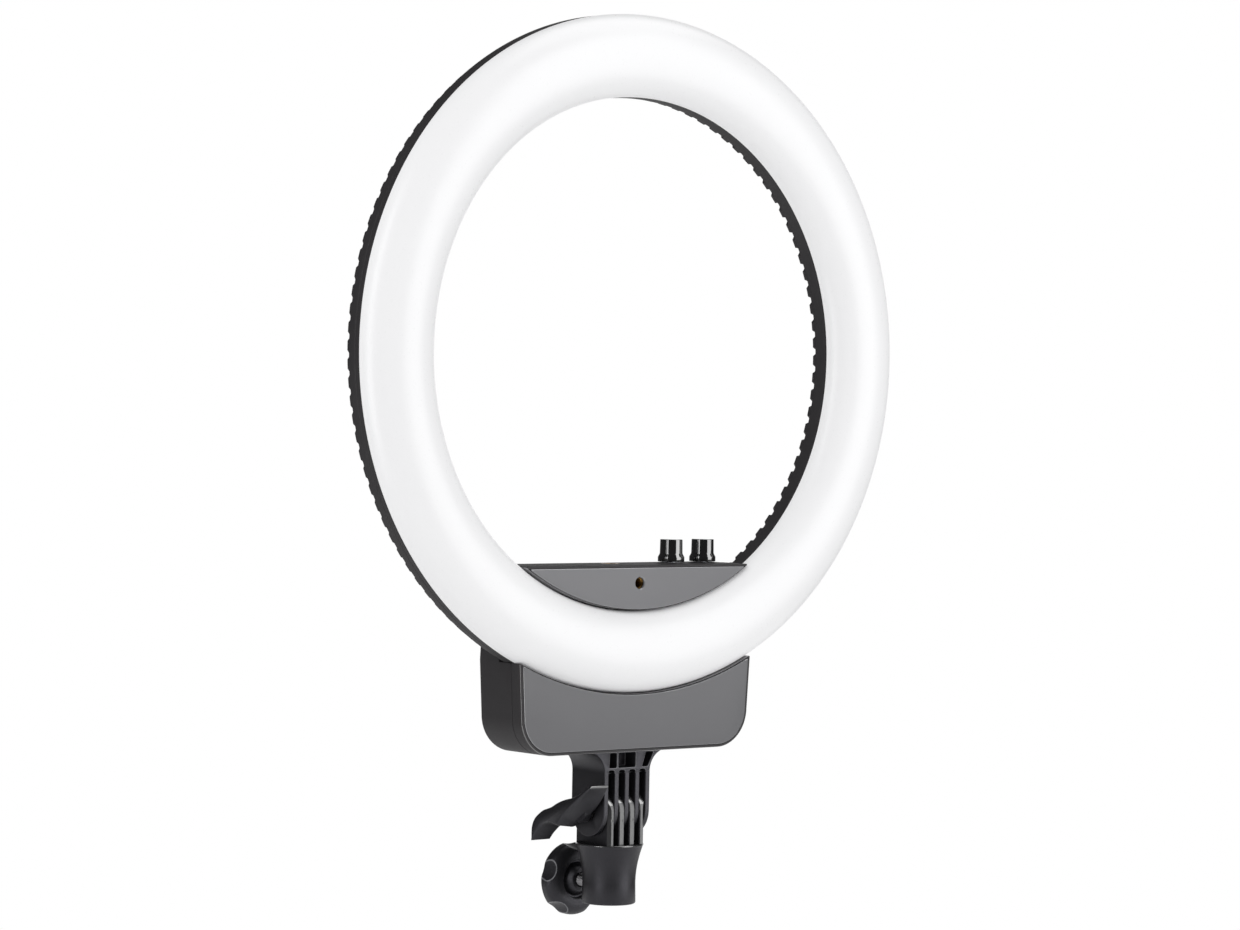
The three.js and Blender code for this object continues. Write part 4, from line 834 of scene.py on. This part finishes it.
# The washer takes a dark steel, darker than the zinc parts.
dark_steel = finish("dark_steel", (42, 42, 43), (28, 28, 29), (0.35, 0.5), 0.7, 0.004, patch=3,
                     Metallic=1)
bolt = combined(chamfered_hexagon("bolt", bolt_seat - bolt_head, bolt_seat), "UNION",
                solid("shank", turned([
                    (0, bolt_seat - 2), (3, bolt_seat - 2), (3, nut_inner - 2.2),
                    *straight(3, nut_inner - 2, bolt_end - 0.5, 61), (2.5, bolt_end),
                    (0, bolt_end)], 48, "x", pivot, (nut_inner - 2.1, bolt_end - 0.6, 1, 0.45))))
nut = combined(chamfered_hexagon("nut", nut_inner, nut_inner + nut_thickness), "DIFFERENCE",
               rod(pivot, bolt_hole, nut_inner - 1, nut_inner + nut_thickness + 1, "x"))
washer = solid("washer", turned(softened([
    (7, washer_inner), (7, washer_outer), (bolt_hole, washer_outer), (bolt_hole, washer_inner),
], 0.25), 64, "x", pivot))
for part, node, body, metal in ((bolt, "tilt_bolt", "tilt_lever", zinc_steel),
                                (nut, "tilt_nut", "head", zinc_steel),
                                (washer, "tilt_washer", "head", dark_steel)):
    dressed(part, metal)
    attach(part, body)
    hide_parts(node)


# The tilt lever is a paddle of the same nylon, bent like a hook, with a round hub over the
# bolt's head.
lever_reach, lever_rise = 32.4, 17
lever_inner, lever_outer = -20.4, -34.4
hub_radius, hub_outer, hub_inner = 6.9, -24.7, -19.1
lever_top = [(-0.72, 1), (-0.645, 0.98), (-0.42, 0.7), (-0.19, 0.525), (0.046, 0.41),
             (0.25, 0.27), (0.454, 0.077), (0.66, -0.05), (0.806, -0.22), (0.923, -0.41),
             (0.994, -0.7), (1, -1.15)]
flow_steps = 5
lever_outer_under = [(0.955, -1.16), (0.873, -0.9), (0.698, -0.57), (0.515, -0.425),
                     (0.37, -0.45), (0.222, -0.5), (0.065, -0.17), (-0.09, 0.07),
                     (-0.23, 0.265), (-0.37, 0.465), (-0.55, 0.72), (-0.7, 0.9)]
lever_inner_under = [(0.955, -1.16), (0.836, -0.93), (0.69, -0.71), (0.617, -0.64),
                     (0.42, -0.63), (0.25, -0.61), (0.035, -0.42), (-0.14, -0.22),
                     (-0.318, 0.03), (-0.472, 0.31), (-0.574, 0.58), (-0.66, 0.84)]
# Painted highlight: a paler base with a glossy coat, on the lever's tip, the socket's fin tops
# and flange, and the clamp knob's recess lip.
nylon_gloss_painted_highlight = finish("nylon_gloss_painted_highlight", (40, 40, 42), (30, 30, 32), (0.16, 0.24), 0.6, 0.004,
                        patch=1.2, Coat_Weight=1, Coat_Roughness=0.18, Coat_IOR=2.3)


def flowing(points):
    """A closed curve through points: between two of them it is the cubic whose slope at each
    is half the step between its neighbours, and at the ends of the shape it turns short."""
    p = np.asarray(points, float)
    before, after = np.roll(p, 1, 0), np.roll(p, -1, 0)
    length = np.linalg.norm(after - p, axis=1)[:, None]
    slope = (after - before) / 2
    limit = np.minimum(length, np.roll(length, 1, 0))
    slope = slope * np.minimum(1, limit / np.linalg.norm(slope, axis=1)[:, None])
    t = (np.arange(flow_steps) / flow_steps)[None, :, None]
    start, end = slope[:, None], np.roll(slope, -1, 0)[:, None]
    here, there = p[:, None], after[:, None]
    curve = ((2 * t ** 3 - 3 * t ** 2 + 1) * here + (t ** 3 - 2 * t ** 2 + t) * start
             + (3 * t ** 2 - 2 * t ** 3) * there + (t ** 3 - t ** 2) * end)
    return curve.reshape(-1, 2)


def lever_side(under, inset):
    """The lever's outline at one of its sides, moved in by the inset towards its spine, which
    lies halfway between the top and the under edge, but at most by a share of the way."""
    outline = flowing(np.array(lever_top + under) * (lever_reach, lever_rise))
    across = np.roll(outline[::-1], 1 - flow_steps, 0) - outline
    half = np.linalg.norm(across, axis=1)[:, None] / 2
    return outline + across / 2 * np.minimum(inset / np.maximum(half, 1e-6), 0.8)


lever_levels = []
for share, inset in ((0, 1.2), (0.008, 0.75), (0.03, 0.3), (0.075, 0.05), (0.1, 0), (0.9, 0),
                     (0.95, 0.1), (0.985, 0.45), (1, 0.9)):
    outline = ((1 - share) * lever_side(lever_outer_under, inset)
               + share * lever_side(lever_inner_under, inset))
    lever_levels.append((outline, lever_outer + share * (lever_inner - lever_outer)))
lever_places = np.stack([np.column_stack([np.full(len(outline), x), outline])
                         for outline, x in lever_levels])
lever = solid("lever", surface(lever_places + pivot, caps=True))
combined(lever, "UNION", solid("hub", turned([
    (0, hub_outer), (hub_radius, hub_outer), (hub_radius, hub_inner - 0.3),
    (hub_radius - 0.3, hub_inner), (0, hub_inner)], 64, "x", pivot)))
combined(lever, "DIFFERENCE", hexagon(hex_radius + 0.4, hub_outer + 0.7, hub_inner + 1.1))
# The lever's tip end takes the painted highlight.
refinished(dressed(lever, nylon_black, 50), nylon_gloss_painted_highlight, lambda place, normal: (
    (place[1] < pivot[1] - 0.69 * lever_reach) & (normal[1] < -0.6)
    & (place[2] > pivot[2] + 0.93 * lever_rise)))
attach(lever, "tilt_lever")
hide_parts("tilt_lever")


# The stand socket is nylon too: a sleeve that flares to a round flange, with four fins on
# top that stand between the fork's. A stud of a lighting stand goes into its bore.
socket_steps = 128
waist, waist_height, flange, flange_height = 15.8, 12, 20.3, 35.8
bore_radius, bore_depth, socket_fin, socket_fin_rise = 8.25, 30, 16, 13.2
socket_fin_rows = [fin_pitch * (i - 1.5) for i in range(4)]
dimple_radius, dimple_depth, dimple_drop = 0.9, 0.2, 5.1
socket_fin_reach, socket_fin_edge = 19.9, 0.6
clamp_height, clamp_hole, clamp_insert_hole, clamp_insert_seat = 10.8, 4.3, 5.7, 10.3
rising = np.linspace(0, 1, 25)[:-1]
flare_wall = np.stack([waist + (flange - waist) * rising ** 2,
                       waist_height + (flange_height - waist_height) * rising], -1)
sleeve_profile = np.concatenate([
    [(bore_radius + 0.5, 0), (waist - 0.55, 0), (waist - 0.1, 0.25), (waist + 0.25, 0.8)],
    flare_wall,
    [(flange, flange_height - 0.6), (flange - 0.1, flange_height - 0.3),
     (flange - 0.45, flange_height), (0, flange_height), (0, bore_depth),
     (bore_radius, bore_depth), (bore_radius, 0.5)]])
socket = solid("socket", turned(sleeve_profile, socket_steps, "z"))
fins_thick = fin_pitch - fin_thickness - 2 * gap
fin_base = flange_height - pivot[2] - 0.8
socket_fin_side = drawn_in(fin_outline(socket_fin, fin_base, socket_fin_rise))
socket_fins = [slab(socket_fin_side, x - fins_thick / 2, x + fins_thick / 2, socket_fin_edge,
                    "x", pivot)
               for x in socket_fin_rows]
for fin in socket_fins:
    combined(fin, "INTERSECT", rod((0, 0, 0), socket_fin_reach, 0, pivot[2] + socket_fin, "z",
                                   socket_steps))
combined(socket, "UNION", *socket_fins)
combined(socket, "DIFFERENCE",
         rod(pivot, bolt_hole, -fork_half, fork_half, "x"),
         rod((0, 0, clamp_height), clamp_hole, 0, flange),
         rod((0, 0, clamp_height), clamp_insert_hole, clamp_insert_seat, flange),
         *[rod(pivot + (x, 0, -dimple_drop), dimple_radius, -socket_fin - 1,
               dimple_depth - socket_fin) for x in socket_fin_rows])
# Painted sheen: the socket's faces above the pivot, other than the fins' sides, get a paler base
# and a satin coat for the light on them.
nylon_satin_painted_sheen = finish("nylon_satin_painted_sheen", (38, 38, 40), (26, 26, 28), (0.28, 0.38), 0.6, 0.02,
                      patch=1.2, Coat_Weight=0.4, Coat_Roughness=0.3, Coat_IOR=2)
refinished(dressed(socket, nylon_black), nylon_satin_painted_sheen, lambda place, normal: (
    (place[2] > pivot[2] - 8) & (np.abs(normal[0]) < 0.9)))
# The fin tops and the flange's top take the painted highlight.
refinished(socket, nylon_gloss_painted_highlight, lambda place, normal: (
    (place[2] > pivot[2] + 4.5) & (normal[2] > 0.2) & (np.abs(normal[0]) < 0.9)
    | (np.hypot(place[0], place[1]) > flange - 0.5) & (normal[2] > 0.2)))
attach(socket, "stand_adapter")
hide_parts("stand_socket")


# The clamp at the back grips the stud: a brass insert in the socket's wall, a brass pad,
# an M8 screw and a knob with five lobes.
for name in ("clamp_insert", "clamp_pad"):
    nodes[name].material_slots[0].material = turned_brass
dull_steel = finish("dull_steel", (140, 139, 141), (104, 103, 105), (0.22, 0.34), 0.7, 0.003,
                    patch=3, Metallic=1)
clamp_centre = np.array([0, 0, clamp_height])
screw_tip, screw_end, screw_radius, screw_pitch = 11.4, 36.4, 3.85, 1.25
clamp_screw = dressed(solid("clamp_thread", turned([
    (0, screw_tip), (screw_radius - 0.55, screw_tip),
    *straight(screw_radius, screw_tip + 0.5, screw_end - 0.2, 195),
    (screw_radius - 0.45, screw_end), (0, screw_end),
], 48, "y", clamp_centre, (screw_tip + 0.6, screw_end - 0.3, screw_pitch, 0.6))), dull_steel, 50)
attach(clamp_screw, "clamp_handle")
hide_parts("clamp_screw")
knob_radius, knob_front, knob_back = 21.9, 28.1, 38.2
scoops, first_scoop, scoop_half, scoop_depth = 5, np.radians(91), np.radians(17.5), 2.6
scoop_slope, soft_edge, pale_edge_reach, pale_edge_from = 0.25, 0.25, 0.36, 14
crown_width, crown_depth, back_round, recess_outer = 7.2, 6, 1.2, 13
recess_lip, cap_radius, cap_front, cap_back = 11.9, 18.8, 36.9, 39.9
scoop_floor = knob_radius - scoop_depth
scoop_rise = knob_radius * np.cos(scoop_half) - scoop_floor
scoop_radius = (scoop_rise ** 2 + (knob_radius * np.sin(scoop_half)) ** 2) / (2 * scoop_rise)
crown = [(knob_radius - crown_width * (1 - np.sin(a)), knob_front + crown_depth * (1 - np.cos(a)))
         for a in np.linspace(0, np.pi / 2, 33)]
side = [(knob_radius, y)
        for y in np.linspace(knob_front + crown_depth, knob_back - back_round, 9)[1:-1]]
back_rim = [(knob_radius - back_round * (1 - np.cos(a)), knob_back - back_round * (1 - np.sin(a)))
            for a in np.linspace(0, np.pi / 2, 5)]
grip_profile = np.array([
    (0, 36.7), (4.3, 36.7), (4.3, 26.4), (4.7, 26), (6.6, 26), (7.1, 26.5), (9.5, 31.3),
    (9.8, 31.9), (10.2, 32.1), (11.1, 32.1), (11.5, 31.8), (11.7, 31.2), (11.7, 28.5),
    (12.1, 28.1), *crown, *side, *back_rim, (12, knob_back), (0, knob_back)])


def scooped(turn, depth):
    """The radius of the nearest scoop's floor at a turn and a depth: the near side of a circle
    whose centre moves out with the depth, c cos(off) - sqrt(r^2 - (c sin(off))^2)."""
    period = 2 * np.pi / scoops
    off = (turn - first_scoop + period / 2) % period - period / 2
    centre = scoop_floor + scoop_radius + scoop_slope * (depth - (knob_front + knob_back) / 2)
    inside = scoop_radius ** 2 - (centre * np.sin(off)) ** 2
    return np.where(inside > 0, centre * np.cos(off) - np.sqrt(np.abs(inside)), 99)


knob_turn = 2 * np.pi * np.arange(600) / 600
full, knob_depth = grip_profile[:, :1], grip_profile[:, 1:]
scoop_wall = scooped(knob_turn, knob_depth)
cut_back = (full + scoop_wall - np.sqrt((full - scoop_wall) ** 2 + soft_edge ** 2)) / 2
knob_rim = np.where(full > recess_outer, cut_back, full + 0 * knob_turn)
knob_places = np.stack([knob_rim * np.cos(knob_turn), knob_depth + 0 * knob_turn,
                        knob_rim * np.sin(knob_turn)], -1)
clamp_knob = solid("clamp_grip", surface(knob_places + clamp_centre),
                   turned(softened([(0, cap_front), (cap_radius, cap_front),
                                    (cap_radius, cap_back), (0, cap_back)],
                                   [0, 0, 1, 0]), 128, "y", clamp_centre))


def at_scoop_edge(place, normal):
    """Whether a face of the knob lies where a scoop meets the crown or the side."""
    x, depth, z = place - clamp_centre[:, None]
    whole = np.interp(depth, [y for _, y in crown + side + back_rim],
                      [r for r, _ in crown + side + back_rim])
    off = np.abs(whole - scooped(np.arctan2(z, x), depth))
    return (off < pale_edge_reach) & (np.hypot(x, z) > pale_edge_from) & (depth < knob_back - 0.3)


# Painted highlight: faces along the rims of the scoops are painted in the paler edge nylon.
refinished(dressed(clamp_knob, nylon_black, 40), nylon_edge_painted_highlight, at_scoop_edge)
# The lip of the knob's recess takes the painted highlight.
refinished(clamp_knob, nylon_gloss_painted_highlight, lambda place, normal: (
    (np.abs(np.hypot(place[0], place[2] - clamp_height) - recess_lip) < 0.3)
    & (place[1] < knob_front + 0.5)))
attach(clamp_knob, "clamp_handle")
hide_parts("clamp_knob")


# The studio has a pale floor, a plain white surround and two tall soft boxes, one far to
# the left and one to the right of the camera, and a smaller one overhead.
floor_height, floor_radius = -260, 1150
floor = solid("floor", turned([(0, floor_height - 5), (floor_radius, floor_height - 5),
                               (floor_radius, floor_height), (0, floor_height)], 96, "z"))


def seen_directly(tree):
    """One where a ray comes from the camera, a reflection or a transmission, otherwise none."""
    path = wired(tree, "LightPath", {}).outputs
    total = path["Is Camera Ray"]
    for name in ("Is Glossy Ray", "Is Transmission Ray"):
        total = wired(tree, "Math", {0: total, 1: path[name]}, operation="MAXIMUM").outputs[0]
    return total


floor_paint = finish("floor_paint", (236, 236, 236), (232, 232, 232), (0.8, 0.9), 3, 0.02)
dressed(floor, floor_paint)
tree = floor_paint.node_tree
place = wired(tree, "TexCoord", {}).outputs["Object"]
distance = wired(tree, "VectorMath", {0: place}, operation="LENGTH").outputs["Value"]
fade = wired(tree, "MapRange", {"From Min": 0.3, "From Max": 1.05, "To Min": 0.08,
                                "To Max": 0.25, "Value": distance}).outputs["Result"]
glow = wired(tree, "Math", {0: fade, 1: seen_directly(tree)}, operation="MULTIPLY")
shader = tree.nodes["Principled BSDF"]
shader.inputs["Emission Color"].default_value = (1, 1, 1, 1)
tree.links.new(glow.outputs[0], shader.inputs["Emission Strength"])

world = bpy.data.worlds.new("white_room")
bpy.context.scene.world = world
world.use_nodes = True
tree = world.node_tree
background = tree.nodes["Background"]
background.inputs["Color"].default_value = (1, 1, 1, 1)
direction = wired(tree, "TexCoord", {}).outputs["Generated"]
ahead = wired(tree, "VectorMath", {0: direction, 1: (0.631, 0.776, 0)},
              operation="DOT_PRODUCT").outputs["Value"]
backdrop = wired(tree, "MapRange", {"From Min": 0.86, "From Max": 0.95, "To Min": 0.05,
                                    "Value": ahead}, interpolation_type="SMOOTHSTEP")
reflected = wired(tree, "Mix", {0: seen_directly(tree), 2: 0.9, 3: backdrop.outputs["Result"]})
camera_ray = wired(tree, "LightPath", {}).outputs["Is Camera Ray"]
level = wired(tree, "Mix", {0: camera_ray, 2: reflected.outputs[0], 3: 1})
tree.links.new(level.outputs[0], background.inputs["Strength"])

camera_side, box_distance = np.radians(-129.2), 1.5


def softbox(name, angle, climb, middle, size, radiance, lamp):
    """A rectangular light on a circle round the object, at an angle and a climb over the floor,
    that faces inwards. A lamp lights the object; a front only shows as a reflection."""
    away = np.array([np.cos(angle) * np.cos(climb), np.sin(angle) * np.cos(climb), np.sin(climb)])
    across = np.array([-np.sin(angle), np.cos(angle), 0])
    axes = Matrix((across, np.cross(away, across), away)).transposed().to_4x4()
    light_data = bpy.data.lights.new(name, "AREA")
    light_data.shape = "RECTANGLE"
    light_data.size, light_data.size_y = size
    light_data.energy = radiance * np.pi * size[0] * size[1]
    light = bpy.data.objects.new(name, light_data)
    bpy.context.scene.collection.objects.link(light)
    distance = box_distance if lamp else box_distance + 0.01
    light.matrix_world = Matrix.Translation(away * distance + (0, 0, middle)) @ axes
    light.visible_camera = False
    light.visible_diffuse = lamp


for name, turn, width in (("left_softbox", -41.3, 0.63), ("right_softbox", 72.8, 1.12)):
    for part, radiance in (("lamp", 0.35), ("front", 2.65)):
        softbox(f"{name}_{part}", camera_side + np.radians(turn), 0, 0.55, (width, 2.4), radiance,
                part == "lamp")
softbox("top_softbox_front", np.radians(-20), np.radians(66), 0.3, (1, 1.1), 2, False)

bpy.context.scene.view_settings.view_transform = "Standard"
